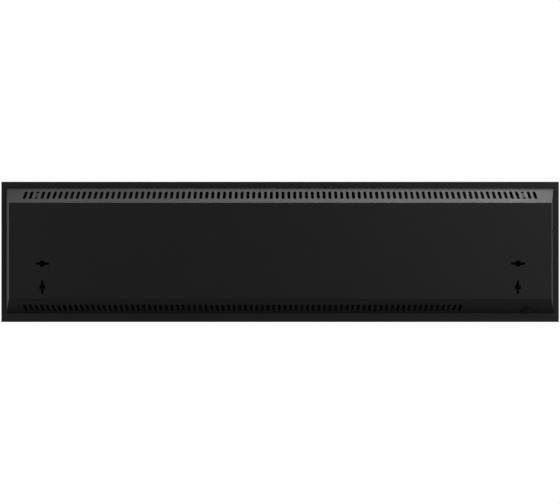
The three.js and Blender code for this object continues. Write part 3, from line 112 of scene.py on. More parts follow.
class FireplaceSizes(bpy.types.PropertyGroup):
    screw_head: length("Casing screw head", 6.8 * MM, "Diameter of the two pan heads in the slots")
    board_screw_head: length("Inner screw head", 5.2 * MM, "Diameter of the heads on boards and terminals")
    crystal: length("Crystal", 11 * MM, "Mean size of one crystal")
    crystal_spacing: length("Crystal spacing", 5 * MM, "Least distance between two crystals' middles")
    lamp_pitch: length("Lamp pitch", 16.6 * MM, "Spacing of the lamps on both light boards")
    fin_pitch: length("Fin pitch", 2.2 * MM, "Spacing of the heater's fins")
    frit_side: length("Border at the sides", 84 * MM, "Printed border, glass edge to window")
    frit_top: length("Border above", 107 * MM, "Printed border, glass edge to window")
    frit_bottom: length("Border below", 74 * MM, "Printed border, glass edge to window")


class FireplaceStage(bpy.types.PropertyGroup):
    camera_distance: length("Camera distance", 3.72, "Rear panel to the camera")
    camera_height: length("Camera height", 3.05 * MM, "How far the camera is below the origin")
    camera_aside: length("Camera aside", 0.36 * MM, "How far the camera is to the side of the middle")
    view_width: length("View width", 1.8372, "What the picture's width takes in at the flange")
    floor_depth: length("Floor depth", 1.3, "How far the floor is below the origin")


def settings():
    return bpy.context.scene.fireplace_sizes


def palette(name):
    """A colour of the palette as a plain tuple."""
    return tuple(getattr(bpy.context.scene.fireplace_colours, name))


def tones(name, *shares):
    """A colour of the palette, made darker or lighter by each share."""
    return [(*[c * share for c in palette(name)[:3]], 1.0) for share in shares]


def joint(name):
    """What the frame says about a joint."""
    return next(j for j in frame["joints"] if j["name"] == name)


# Nodes
MATH = "ShaderNodeMath"
VECTOR_MATH = "ShaderNodeVectorMath"
COMBINE = "ShaderNodeCombineXYZ"
NOISE = "ShaderNodeTexNoise"
PRINCIPLED = "ShaderNodeBsdfPrincipled"
MAP_RANGE = "ShaderNodeMapRange"
TRANSFORM = "GeometryNodeTransform"
INSTANCES = "GeometryNodeInstanceOnPoints"


def add(tree, kind, inputs=(), **options):
    """Adds one node. inputs gives each socket, by name or number, its value or what feeds it.

    A node feeds through the first output that is in use. A list feeds a socket that takes many.
    A colour may be given by its sRGB hex value."""
    made = tree.nodes.new(kind)
    for name, value in options.items():
        setattr(made, name, value)
    for key, value in dict(inputs).items():
        for feed in value if isinstance(value, list) else [value]:
            if isinstance(feed, bpy.types.Node):
                feed = next(output for output in feed.outputs if output.enabled)
            elif isinstance(feed, str) and feed.startswith("#"):
                feed = linear(feed)
            if isinstance(feed, bpy.types.NodeSocket):
                tree.links.new(feed, made.inputs[key])
            else:
                made.inputs[key].default_value = feed
    return made


# Finishes
def mottled(tree, pattern, dark, light, values, relief=None, sheen=None, fine=None):
    """A surface whose colour runs from dark to light with a pattern.

    relief is a bump's depth in mm and its strength, and sheen the roughness at the pattern's ends.
    Both follow the fine pattern where there is one. values go to the shader's own sockets."""
    tone = add(tree, "ShaderNodeMix", {"Factor": pattern, "A": dark, "B": light}, data_type="RGBA")
    sockets = {"Base Color": tone, **values}
    grain = fine or pattern
    if sheen:
        ends = {"Value": grain, "To Min": sheen[0], "To Max": sheen[1]}
        sockets["Roughness"] = add(tree, MAP_RANGE, ends)
    if relief:
        depth = {"Height": grain, "Distance": relief[0] * MM, "Strength": relief[1]}
        sockets["Normal"] = add(tree, "ShaderNodeBump", depth)
    return add(tree, PRINCIPLED, sockets)


def clouded(tree, place, spacing, detail, *tones, **more):
    """A mottled surface whose pattern is a noise, with its spacing in mm."""
    noise = {"Vector": place, "Scale": per(spacing), "Detail": detail}
    return mottled(tree, add(tree, NOISE, noise), *tones, **more)


def lit_through(tree, surface, tint):
    """Lets the lamps reach what lies behind a clear surface."""
    bare = add(tree, "ShaderNodeBsdfTransparent", {"Color": tint})
    path = add(tree, "ShaderNodeLightPath").outputs
    return add(tree, "ShaderNodeMixShader", {0: path["Is Shadow Ray"], 1: surface, 2: bare})


def powder_coated_steel(tree, place):
    """Polyester powder baked on folded sheet: satin, all but black, with a faint orange peel."""
    # Orange peel is about 1 mm across, drawn at 5 mm so that it shows at all
    peel = add(tree, NOISE, {"Vector": place, "Scale": per(5), "Detail": 2.0})
    values = {"Specular IOR Level": 0.06}
    fine = {"relief": (0.05, 0.4), "sheen": (0.46, 0.54), "fine": peel}
    return clouded(tree, place, 140, 3.0, *tones("coat", 0.9, 1.1), values, **fine)


def stove_painted_steel(tree, place):
    """Heat-resistant stove paint sprayed on sheet: dead matt, with a dry fine grain."""
    paint = tones("stove_paint", 0.7, 1.3)
    values = {"Roughness": 0.8, "Specular IOR Level": 0.1}
    # The grain is about 0.3 mm, drawn at 3 mm so that it shows at all
    return clouded(tree, place, 3, 4.0, *paint, values, relief=(0.1, 0.3))


def galvanised_steel(tree, place):
    """Hot-dip zinc on sheet: dull silver broken into flat crystal flakes of slightly different shine."""
    flakes = add(tree, "ShaderNodeTexVoronoi", {"Vector": place, "Scale": per(9)}).outputs["Color"]
    return mottled(tree, flakes, "#8d9194", "#a9adb0", {"Metallic": 1.0}, sheen=(0.3, 0.5))


def bright_rolled_aluminium(tree, place):
    """Bright-rolled aluminium strip: a mirror with faint drawn lines.

    The hub on the rod is blackened, and the strip is painted black where a keyhole opens on it, as painted
    shade."""
    drawn = add(tree, "ShaderNodeMapping", {"Vector": place, "Scale": (0.02, 1.0, 1.0)})
    # Rolling lines are about 0.1 mm apart, drawn at 1.5 mm so that they show at all
    lines = add(tree, NOISE, {"Vector": drawn, "Scale": per(1.5), "Detail": 3.0})
    gloss = add(tree, MAP_RANGE, {"Value": lines, "To Min": 0.06, "To Max": 0.2})
    # Without its sign one place stands for both ends
    either_end = add(tree, VECTOR_MATH, {0: place}, operation="ABSOLUTE")
    rod = (0.0, *joint("spindle_turn")["pos_m"][1:])
    # Where a keyhole opens on the strip it is painted black, as painted shade seen through the hole
    keyhole = (KEYHOLE_FROM_CENTRE, 0.0, 0.0)
    clear = []
    # Black up to the first distance in mm, and bright from the second; round the keyhole this black is
    # painted shade
    for point, axes, black, (start, end) in (
        (place, (0.0, 1.0, 1.0), rod, (5.5, 6.5)),
        (either_end, (1.0, 0.0, 0.0), keyhole, (15, 17)),
    ):
        flat = add(tree, VECTOR_MATH, {0: point, 1: axes}, operation="MULTIPLY")
        away = add(tree, VECTOR_MATH, {0: flat, 1: black}, operation="DISTANCE")
        edge = {"Value": away, "From Min": start * MM, "From Max": end * MM}
        clear.append(add(tree, MAP_RANGE, edge))
    bright = add(tree, MATH, {0: clear[0], 1: clear[1]}, operation="MULTIPLY")
    matt = add(tree, "ShaderNodeMix", {"Factor": bright, "A": 0.7, "B": gloss}, data_type="FLOAT")
    values = {"Metallic": bright, "Roughness": matt}
    return mottled(tree, bright, "#101010", "#dcdee0", values)


def mill_finish_aluminium(tree, place):
    """Mill-finish aluminium: soft grey metal, greyer where heat has dulled it."""
    grey = "#a4a6a8", "#c4c6c8"
    return clouded(tree, place, 30, 4.0, *grey, {"Metallic": 1.0}, sheen=(0.45, 0.3))


def tempered_glass(tree, place):
    """Tempered soda-lime glass with an anti-glare coat: clear, a trace of grey-green, few reflections."""
    # Roller waves of the tempering oven, about 200 mm apart
    wave = add(tree, NOISE, {"Vector": place, "Scale": per(200), "Detail": 1.0})
    bump = add(tree, "ShaderNodeBump", {"Height": wave, "Distance": 0.1 * MM, "Strength": 0.3})
    values = {
        "Base Color": palette("glass"),
        "Roughness": 0.08,
        "IOR": 1.52,
        "Transmission Weight": 1.0,
        "Specular Tint": "#808080",
        "Normal": bump,
    }
    return lit_through(tree, add(tree, PRINCIPLED, values), palette("glass"))


def ceramic_frit(tree, place):
    """Black ceramic print fired on the glass: dense, with a faint dry grain seen through the pane."""
    values = {"Roughness": 0.5, "Specular IOR Level": 0.1}
    # The print's grain is about 0.1 mm, drawn at 4 mm so that it shows at all
    return clouded(tree, place, 4, 3.0, *tones("frit", 0.8, 1.4), values)


def printed_marks(tree, place):
    """Pale grey ink printed under the glass, slightly uneven in density."""
    return clouded(tree, place, 2, 2.0, *tones("marks", 0.85, 1.0), {"Roughness": 0.6})


def neoprene_foam(tree, place):
    """Closed-cell neoprene: dull black with open cut cells."""
    # The cells are painted darker towards their middles, where the same pattern sinks them, as painted
    # shade in the hollows
    cells = add(tree, "ShaderNodeTexVoronoi", {"Vector": place, "Scale": per(1.2)})
    values = {"Roughness": 0.95, "Specular IOR Level": 0.2}
    return mottled(tree, cells, "#0a0a0a", "#1c1c1c", values, relief=(0.3, 0.6))


def smoked_acrylic(tree, place):
    """Smoked cast acrylic, blasted for projection: a dark matt sheet that lets a little light through."""
    haze = add(tree, NOISE, {"Vector": place, "Scale": per(60), "Detail": 3.0})
    gloss = add(tree, MAP_RANGE, {"Value": haze, "To Min": 0.45, "To Max": 0.6})
    values = {
        "Base Color": palette("smoke"),
        "Roughness": gloss,
        "IOR": 1.49,
        "Specular IOR Level": 0.15,
        "Transmission Weight": 0.3,
    }
    return add(tree, PRINCIPLED, values)


def clear_acrylic(tree, place):
    """Clear extruded acrylic: bright and glassy, faintly frosted by its drawing."""
    tint = "#e8eef0"
    frost = add(tree, NOISE, {"Vector": place, "Scale": per(40), "Detail": 2.0})
    gloss = add(tree, MAP_RANGE, {"Value": frost, "To Min": 0.08, "To Max": 0.18})
    values = {"Base Color": tint, "Roughness": gloss, "IOR": 1.49, "Transmission Weight": 1.0}
    return lit_through(tree, add(tree, PRINCIPLED, values), tint)


def cast_glass_chips(tree, place):
    """Broken cast glass: clear chips whose facets catch the light one by one."""
    chips = add(tree, "ShaderNodeTexVoronoi", {"Vector": place, "Scale": per(9)}).outputs["Color"]
    dim, clear = tones("crystal", 0.82, 1.0)
    values = {"Roughness": 0.08, "IOR": 1.5, "Transmission Weight": 0.85}
    return lit_through(tree, mottled(tree, chips, dim, clear, values), clear)


def enamelled_wire(tree, place):
    """Enamelled copper wire: warm red-brown metal under a glossy varnish."""
    values = {"Metallic": 0.8, "Roughness": 0.35, "Coat Weight": 0.6, "Coat Roughness": 0.1}
    return clouded(tree, place, 6, 2.0, *tones("copper", 0.75, 1.0), values)


def moulded_plastic(tree, place, dark, light, roughness, shine):
    """Injection-moulded plastic with a fine spark-eroded grain."""
    values = {"Roughness": roughness, "Specular IOR Level": shine}
    # The mould's grain is about 0.2 mm, drawn at 1.5 mm so that it shows at all
    return clouded(tree, place, 1.5, 3.0, dark, light, values, relief=(0.05, 0.4))


def black_nylon(tree, place):
    """Moulded glass-filled nylon: charcoal black and slightly dry."""
    return moulded_plastic(tree, place, "#0d0d0e", "#141415", 0.55, 0.12)


def white_nylon(tree, place):
    """Moulded natural nylon: warm white and waxy."""
    return moulded_plastic(tree, place, "#d2d0c8", "#e2e0d8", 0.45, 0.3)


def solder_masked_board(tree, place):
    """Glass-epoxy board under green solder mask, with darker runs where there is no copper.

    The main board's relays stand up from it in black plastic."""
    low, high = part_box("main_board")
    axes = add(tree, "ShaderNodeSeparateXYZ", {"Vector": place}).outputs
    foot = high.z - RELAY_HEIGHT
    above = add(tree, MATH, {0: axes["Z"], 1: foot}, operation="GREATER_THAN")
    behind = add(tree, MATH, {0: axes["Y"], 1: low.y}, operation="GREATER_THAN")
    relay = add(tree, MATH, {0: above, 1: behind}, operation="MULTIPLY")
    mask, track, bare = tones("solder_mask", 1.0, 1.5, 0.5)
    runs = {
        "Vector": place,
        "Color1": mask,
        "Color2": track,
        "Mortar": bare,
        "Scale": per(7),
        "Mortar Size": 0.06,
        "Brick Width": 2.4,
        "Row Height": 0.4,
    }
    tracks = add(tree, "ShaderNodeTexBrick", runs)
    grooves = {"Height": tracks.outputs["Fac"], "Distance": 0.05 * MM, "Strength": 0.5}
    values = {"Roughness": 0.3, "Normal": add(tree, "ShaderNodeBump", grooves)}
    return mottled(tree, relay, tracks, "#141516", values)


def lamp_phosphor(tree, place):
    """Silicone loaded with yellow phosphor in a lamp that is off: a dense matt yellow."""
    return clouded(tree, place, 0.8, 2.0, "#c49b32", "#e0bf5a", {"Roughness": 0.5})


def dressed(finish):
    """The material that a finish describes, named for it."""
    material = bpy.data.materials.new(finish.__name__)
    material.use_nodes = True
    tree = material.node_tree
    tree.nodes.clear()
    place = add(tree, "ShaderNodeTexCoord").outputs["Object"]
    add(tree, "ShaderNodeOutputMaterial", {"Surface": finish(tree, place)})
    return material


SLOT_FINISHES = {
    "coated_steel": powder_coated_steel,
    "inner_black": stove_painted_steel,
    "zinc_steel": galvanised_steel,
    "mirror_strip": bright_rolled_aluminium,
    "front_glass": tempered_glass,
    "foam": neoprene_foam,
    "smoked_acrylic": smoked_acrylic,
    "clear_acrylic": clear_acrylic,
    "crystal": cast_glass_chips,
    "aluminium": mill_finish_aluminium,
    "enamelled_copper": enamelled_wire,
    "black_plastic": black_nylon,
    "white_plastic": white_nylon,
    "circuit_board": solder_masked_board,
}
EXTRA_FINISHES = (ceramic_frit, printed_marks, lamp_phosphor)

# The floor, its support and the flame mask are painted stove black as the firebox is, and this black also
# stands in for shade where they are seen through the slots and keyholes
STOVE_BLACK_SHADE_NODES = ("firebox_floor", "floor_support", "flame_mask")


# Making pieces
def shown(name, data):
    """A new object in the scene."""
    made = bpy.data.objects.new(name, data)
    bpy.context.scene.collection.objects.link(made)
    return made


def piece(name, mesh, replaced=(), body="fireplace"):
    """Puts a finished mesh in the scene, riding on its body."""
    mesh.name = name
    made = shown(name, mesh)
    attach(made, body)
    if replaced:
        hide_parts(*replaced)


def geometry_tree(name, **labels):
    """A geometry tree with named inputs, listed by kind, and a Material, and what gives them."""
    tree = bpy.data.node_groups.new(name, "GeometryNodeTree")
    for way in ("INPUT", "OUTPUT"):
        tree.interface.new_socket("Geometry", in_out=way, socket_type="NodeSocketGeometry")
    for kind, listed in {**labels, "Material": "Material"}.items():
        for label in listed.split(", "):
            tree.interface.new_socket(label, in_out="INPUT", socket_type="NodeSocket" + kind)
    return tree, add(tree, "NodeGroupInput").outputs


def end_tree(tree, geometry, material):
    """Makes the copies real and gives them their material."""
    real = add(tree, "GeometryNodeRealizeInstances", {"Geometry": geometry})
    coated = add(tree, "GeometryNodeSetMaterial", {"Geometry": real, "Material": material})
    add(tree, "NodeGroupOutput", {"Geometry": coated})
    return tree


def grown(tree, values, material, place=(0.0, 0.0, 0.0), start=None):
    """The plain mesh that the tree makes from a starting mesh, moved to its place."""
    given = {**values, "Material": bpy.data.materials[material]}
    seedling = shown("seedling", start or bpy.data.meshes.new("seedling"))
    modifier = seedling.modifiers.new("grow", "NODES")
    modifier.node_group = tree
    for item in tree.interface.items_tree:
        if item.in_out == "INPUT" and item.name in given:
            modifier[item.identifier] = given[item.name]
    graph = bpy.context.evaluated_depsgraph_get()
    mesh = bpy.data.meshes.new_from_object(seedling.evaluated_get(graph))
    bpy.data.objects.remove(seedling)
    mesh.transform(Matrix.Translation(place))
    return mesh


def middle(low, high, height):
    """The middle of a box in plan, at a height."""
    return Vector(((low.x + high.x) / 2, (low.y + high.y) / 2, height))


def closed(shape, material, merge=True):
    """A mesh with its doubles merged and its faces outwards."""
    vertices, faces = shape
    mesh = bpy.data.meshes.new("closed")
    mesh.from_pydata([tuple(v) for v in vertices], [], faces)
    work = bmesh.new()
    work.from_mesh(mesh)
    if merge:
        bmesh.ops.remove_doubles(work, verts=work.verts, dist=1e-6)
    bmesh.ops.recalc_face_normals(work, faces=work.faces)
    work.to_mesh(mesh)
    work.free()
    mesh.materials.append(bpy.data.materials[material])
    return mesh


def joined(shapes):
    """Several pairs of vertices and faces as one."""
    vertices, faces = [], []
    for more, extra in shapes:
        faces += [tuple(i + len(vertices) for i in face) for face in extra]
        vertices += more
    return vertices, faces


def plates(outlines, place, thickness):
    """Vertices and faces of flat plates. Each outline is a list of loops, the outer one first."""
    vertices, faces = [], []
    for loops in outlines:
        flat = [[Vector((u, v, 0.0)) for u, v in loop] for loop in loops]
        points = [point for loop in loops for point in loop]
        first, count = len(vertices), len(points)
        vertices += [place(u, v, w) for w in (0.0, thickness) for u, v in points]
        for a, b, c in tessellate_polygon(flat):
            faces.append((first + a, first + b, first + c))
            faces.append((first + count + c, first + count + b, first + count + a))
        start = first
        for loop in loops:
            for i in range(len(loop)):
                a, b = start + i, start + (i + 1) % len(loop)
                faces.append((a, b, b + count, a + count))
            start += len(loop)
    return vertices, faces


def upright(depth):
    """Places a plate's outline upright, from a depth backwards."""
    return lambda u, v, w: Vector((u, depth + w, v))


def rounded(left, right, low, high, radius, steps=6):
    """A rectangle's outline with round corners."""
    left, right, low, high = left + radius, right - radius, low + radius, high - radius
    points = []
    for k, corner in enumerate(((right, high), (left, high), (left, low), (right, low))):
        points += arc(*corner, radius, 90 * k, 90 * k + 90, steps)
    return points


def stroke(line, width):
    """The outline of a line drawn with a square-ended pen."""
    left, right = [], []
    for i, (u, v) in enumerate(line):
        u0, v0 = line[max(i - 1, 0)]
        u1, v1 = line[min(i + 1, len(line) - 1)]
        run = math.hypot(u1 - u0, v1 - v0)
        across = ((v0 - v1) / run * width / 2, (u1 - u0) / run * width / 2)
        left.append((u + across[0], v + across[1]))
        right.append((u - across[0], v - across[1]))
    return left + right[::-1]


def arc(u, v, radius, start, end, steps=20):
    """Points on an arc, with angles in degrees."""
    turns = [math.radians(start + (end - start) * s / steps) for s in range(steps + 1)]
    return [(u + radius * math.cos(t), v + radius * math.sin(t)) for t in turns]


# Screws: how their heads are shaped, as shares of the radius or of the head's diameter
HEAD_HEIGHT = 0.3
DOME_POWER = 3.0
CROWN_LOSS = 0.4
RECESSES = ((1.05, 0.26, 1.0), (0.26, 1.05, 1.0))

# From the foot of the main board to where its screws sit, and how far in the screws are
BOARD_RISE = 7.3 * MM
SCREW_INSET = 4.5 * MM
TERMINAL_POLES = 4


def screw_tree():
    """Pan heads with a cross recess, one on each point, square to the point's facing."""
    labels = {"Float": "Head Diameter, Head Height", "Int": "Sides"}
    tree, given = geometry_tree("cross_recess_screws", **labels)
    rim = {"Vertices": given["Sides"], "Side Segments": 5, "Radius": 1.0, "Depth": 1.0}
    blank = add(tree, "GeometryNodeMeshCylinder", rim, fill_type="NGON")
    height = given["Head Height"]
    radius = add(tree, MATH, {0: given["Head Diameter"], 1: 0.5}, operation="MULTIPLY")
    centred = add(tree, "GeometryNodeInputPosition")
    place = add(tree, VECTOR_MATH, {0: centred, 1: (0.0, 0.0, 0.5)}, operation="ADD")
    rise = add(tree, "ShaderNodeSeparateXYZ", {"Vector": place}).outputs["Z"]
    dome = add(tree, MATH, {0: rise, 1: DOME_POWER}, operation="POWER")
    narrow = add(tree, MATH, {0: dome, 1: -CROWN_LOSS, 2: 1.0}, operation="MULTIPLY_ADD")
    reach = add(tree, MATH, {0: narrow, 1: radius}, operation="MULTIPLY")
    stretch = add(tree, COMBINE, {"X": reach, "Y": reach, "Z": height})
    shaped = add(tree, VECTOR_MATH, {0: place, 1: stretch}, operation="MULTIPLY")
    head = add(tree, "GeometryNodeSetPosition", {"Geometry": blank, "Position": shaped})
    lift = add(tree, COMBINE, {"Z": height})
    span = add(tree, COMBINE, {"X": radius, "Y": radius, "Z": height})
    cuts = []
    for shares in RECESSES:
        size = add(tree, VECTOR_MATH, {0: span, 1: shares}, operation="MULTIPLY")
        block = add(tree, "GeometryNodeMeshCube", {"Size": size})
        cuts.append(add(tree, TRANSFORM, {"Geometry": block, "Translation": lift}))
    pair = {"Mesh 1": head, "Mesh 2": cuts}
    recessed = add(tree, "GeometryNodeMeshBoolean", pair, operation="DIFFERENCE")
    facing = add(tree, "GeometryNodeInputNamedAttribute", {"Name": "facing"}, data_type="FLOAT_VECTOR")
    square = add(tree, "FunctionNodeAlignRotationToVector", {"Vector": facing}, axis="Z")
    seated = {"Points": given["Geometry"], "Instance": recessed, "Rotation": square}
    copies = add(tree, INSTANCES, seated)
    return end_tree(tree, copies, given["Material"])


def seats(places, facing):
    """A mesh of points, each with the direction that it faces."""
    mesh = bpy.data.meshes.new("seats")
    mesh.from_pydata([tuple(point) for point in places], [], [])
    way = mesh.attributes.new("facing", "FLOAT_VECTOR", "POINT")
    way.data.foreach_set("vector", list(facing) * len(places))
    return mesh


def screws(name, places, facing, head, sides, slot):
    """One mesh of screw heads, with the finish of their slot."""
    tree = bpy.data.node_groups.get("cross_recess_screws") or screw_tree()
    values = {"Head Diameter": head, "Head Height": head * HEAD_HEIGHT, "Sides": sides}
    material = SLOT_FINISHES[slot].__name__
    piece(name, grown(tree, values, material, start=seats(places, facing)))


def corners(node, height):
    """The four corners of a node's box in plan, drawn in, at a height."""
    low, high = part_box(node)
    return [
        (x, y, height)
        for x in (low.x + SCREW_INSET, high.x - SCREW_INSET)
        for y in (low.y + SCREW_INSET, high.y - SCREW_INSET)
    ]


# Ember bed: how a chip's size, sides and corners vary, and how much of a chip lies in the heap
CHIP_LEAST = (0.75, 0.6, 0.55)
CHIP_MOST = (1.2, 1.0, 0.95)
CHIP_JITTER = 0.16
CHIP_REACH = 0.55
CHIP_DEPTH = 0.9
MOST_CHIPS_PER_SQUARE_METRE = 400000.0


def crystal_tree():
    """Faceted chips scattered over a strip, none closer than the spacing, in a low heap."""
    labels = {"Float": "Length, Depth, Spacing, Size, Rise", "Int": "Seed"}
    tree, given = geometry_tree("crystal_heap", **labels)
    seed = given["Seed"]
    sides = {"Size X": given["Length"], "Size Y": given["Depth"], "Vertices X": 2, "Vertices Y": 2}
    strip = add(tree, "GeometryNodeMeshGrid", sides)
    spread = {
        "Mesh": strip,
        "Distance Min": given["Spacing"],
        "Density Max": MOST_CHIPS_PER_SQUARE_METRE,
        "Seed": seed,
    }
    points = add(tree, "GeometryNodeDistributePointsOnFaces", spread, distribute_method="POISSON")
    levels = {"Min": 0.0, "Max": given["Rise"], "Seed": seed}
    lift = add(tree, "FunctionNodeRandomValue", levels, data_type="FLOAT")
    offset = add(tree, COMBINE, {"Z": lift})
    heap = add(tree, "GeometryNodeSetPosition", {"Geometry": points, "Offset": offset})
    turn, shape, jitter = (
        add(tree, "FunctionNodeRandomValue", {**ends, "Seed": seed}, data_type="FLOAT_VECTOR")
        for ends in (
            {"Min": (0.0,) * 3, "Max": (math.tau,) * 3},
            {"Min": CHIP_LEAST, "Max": CHIP_MOST},
            {"Min": (-CHIP_JITTER,) * 3, "Max": (CHIP_JITTER,) * 3},
        )
    )
    radius = add(tree, MATH, {0: given["Size"], 1: 0.5}, operation="MULTIPLY")
    chip = add(tree, "GeometryNodeMeshIcoSphere", {"Radius": radius, "Subdivisions": 1})
    strewn = {"Points": heap, "Instance": chip, "Rotation": turn, "Scale": shape}
    copies = add(tree, INSTANCES, strewn)
    real = add(tree, "GeometryNodeRealizeInstances", {"Geometry": copies})
    chipped = add(tree, VECTOR_MATH, {0: jitter, "Scale": given["Size"]}, operation="SCALE")
    broken = add(tree, "GeometryNodeSetPosition", {"Geometry": real, "Offset": chipped})
    return end_tree(tree, broken, given["Material"])


# Rows of lamps and fins
LAMP_SIDE = 3.5 * MM
LAMP_HEIGHT = 1.4 * MM
LAMP_WELL = 1.3 * MM
PHOSPHOR_FIT = (0.97, 0.97, 0.7)
RAIL = 2 * MM
FIN_SHEET = 0.25 * MM


def centred_row(tree, given):
    """Points along X over the tree's Length, one Pitch apart."""
    gaps = add(tree, MATH, {0: given["Length"], 1: given["Pitch"]}, operation="DIVIDE")
    count = add(tree, MATH, {0: gaps}, operation="FLOOR")
    run = add(tree, MATH, {0: count, 1: given["Pitch"]}, operation="MULTIPLY")
    first = add(tree, MATH, {0: run, 1: -0.5}, operation="MULTIPLY")
    total = add(tree, MATH, {0: count, 1: 1.0}, operation="ADD")
    start = add(tree, COMBINE, {"X": first})
    step = add(tree, COMBINE, {"X": given["Pitch"]})
    return add(tree, "GeometryNodeMeshLine", {"Count": total, "Start Location": start, "Offset": step})


def lamp_tree():
    """A row of surface-mounted lamps: square housings with a round well, or the phosphor in it."""
    labels = {"Float": "Length, Pitch, Side, Height, Well", "Bool": "Filled"}
    tree, given = geometry_tree("lamp_row", **labels)
    size = add(tree, COMBINE, {"X": given["Side"], "Y": given["Side"], "Z": given["Height"]})
    block = add(tree, "GeometryNodeMeshCube", {"Size": size})
    rise = add(tree, MATH, {0: given["Height"], 1: 0.5}, operation="MULTIPLY")
    up = add(tree, COMBINE, {"Z": rise})
    bore = {"Vertices": 10, "Radius": given["Well"], "Depth": given["Height"]}
    well = add(tree, "GeometryNodeMeshCylinder", bore, fill_type="NGON")
    over = add(tree, TRANSFORM, {"Geometry": well, "Translation": up})
    pair = {"Mesh 1": block, "Mesh 2": over}
    housing = add(tree, "GeometryNodeMeshBoolean", pair, operation="DIFFERENCE")
    sunk = add(tree, TRANSFORM, {"Geometry": well, "Scale": PHOSPHOR_FIT})
    choice = {"Switch": given["Filled"], "False": housing, "True": sunk}
    chosen = add(tree, "GeometryNodeSwitch", choice, input_type="GEOMETRY")
    seated = add(tree, TRANSFORM, {"Geometry": chosen, "Translation": up})
    row = {"Points": centred_row(tree, given), "Instance": seated}
    return end_tree(tree, add(tree, INSTANCES, row), given["Material"])


def fin_tree():
    """Corrugated fins between the heater's rails, leaning one way and the other in turn."""
    tree, given = geometry_tree("corrugated_fins", Float="Length, Pitch, Depth, Height, Sheet")
    size = add(tree, COMBINE, {"X": given["Sheet"], "Y": given["Depth"], "Z": given["Height"]})
    fin = add(tree, "GeometryNodeMeshCube", {"Size": size})
    index = add(tree, "GeometryNodeInputIndex")
    side = add(tree, MATH, {0: index, 1: 2.0}, operation="MODULO")
    angle = add(tree, MATH, {0: given["Pitch"], 1: given["Height"]}, operation="ARCTAN2")
    back = add(tree, MATH, {0: angle, 1: -1.0}, operation="MULTIPLY")
    lean = add(tree, MAP_RANGE, {"Value": side, "To Min": angle, "To Max": back})
    turn = add(tree, COMBINE, {"Y": lean})
    row = {"Points": centred_row(tree, given), "Instance": fin, "Rotation": turn}
    return end_tree(tree, add(tree, INSTANCES, row), given["Material"])


# Outlet seals and print on the glass
CORNER_RADIUS = 2 * MM
SEAL_INSET = 0.8 * MM
PRINT_EDGE = 1.2 * MM
GRILLE_FLANGE = 3.4 * MM
PRINT_GAP = 0.08 * MM
PRINT_THICKNESS = 0.12 * MM
MARK_GAP = 0.02 * MM
MARK_THICKNESS = 0.04 * MM
MARK_PITCH = 21 * MM
MARK_SIZE = 9 * MM
MARK_PEN = 1.1 * MM

# The touch marks' shapes, as shares of their radius
POWER_STEM = (1.15, 0.1)
SIGN_REACH = 0.8
FLAME_BELLY = 0.75
FLAME_TAPER = 0.6
FLAME_HEIGHT = 2.1
WAVE_SPACING = 0.65
WAVE_SWING = 0.16


def inside(low, high, aside, below, above, radius=CORNER_RADIUS):
    """An upright outline with round corners, drawn in from a box."""
    return rounded(low.x + aside, high.x - aside, low.z + below, high.z - above, radius)


def print_border():
    """The black border printed on the back of the glass, round the window and the outlet."""
    low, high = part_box("front_glass")
    grille_low, grille_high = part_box("outlet_grille")
    sizes = settings()
    edge, flange = PRINT_EDGE, GRILLE_FLANGE
    loops = [
        inside(low, high, edge, edge, edge),
        inside(low, high, sizes.frit_side, sizes.frit_bottom, sizes.frit_top),
        inside(grille_low, grille_high, flange, flange, flange, 2 * CORNER_RADIUS),
    ]
    shape = plates([loops], upright(high.y + PRINT_GAP), PRINT_THICKNESS)
    piece("glass_frit", closed(shape, "ceramic_frit"))


def print_touch_marks():
    """Five marks in front of the touch board: power, flame, warmer, cooler and heat."""
    low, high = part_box("touch_board")
    across, height = (low.x + high.x) / 2, (low.z + high.z) / 2
    power, flame, plus, minus, heat = [across + MARK_PITCH * (i - 2) for i in range(5)]
    r, pen = MARK_SIZE / 2, MARK_PEN
    bar = r * SIGN_REACH
    drop = []
    for s in range(1, 24):
        turn = math.pi * s / 24
        aside = r * FLAME_BELLY * math.sin(2 * turn) * math.sin(turn) ** FLAME_TAPER
        drop.append((flame + aside, height - r + FLAME_HEIGHT * r * (1 - math.cos(turn)) / 2))
    lines = [
        arc(power, height, r, 120, 420),
        [(power, height + r * share) for share in POWER_STEM],
        drop,
        [(plus - bar, height), (plus + bar, height)],
        [(plus, height + pen), (plus, height + bar)],
        [(plus, height - bar), (plus, height - pen)],
        [(minus - bar, height), (minus + bar, height)],
    ]
    for k in (-1, 0, 1):
        wave = heat + k * r * WAVE_SPACING
        swing = r * WAVE_SWING
        lines.append(
            [(wave + swing * math.sin(math.tau * s / 12), height + r * (s / 6 - 1)) for s in range(13)]
        )
    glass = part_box("front_glass")[1].y
    outlines = [[stroke(line, pen)] for line in lines]
    shape = plates(outlines, upright(glass + MARK_GAP), MARK_THICKNESS)
    piece("touch_marks", closed(shape, "printed_marks"))


# Switch, in the rocker's own frame: its tilt at rest, and its crest and end behind the pivot
ROCKER_TILT = -10
ROCKER_CREST = -3.633 * MM
ROCKER_END = -4.7 * MM
ROCKER_HALF = 6.9 * MM
SWITCH_PEN = 0.7 * MM
SWITCH_RAISE = 0.2 * MM
BAR_HALF = 1.4 * MM
RING_OUTER = 1.7 * MM
RING_INNER = 1.0 * MM


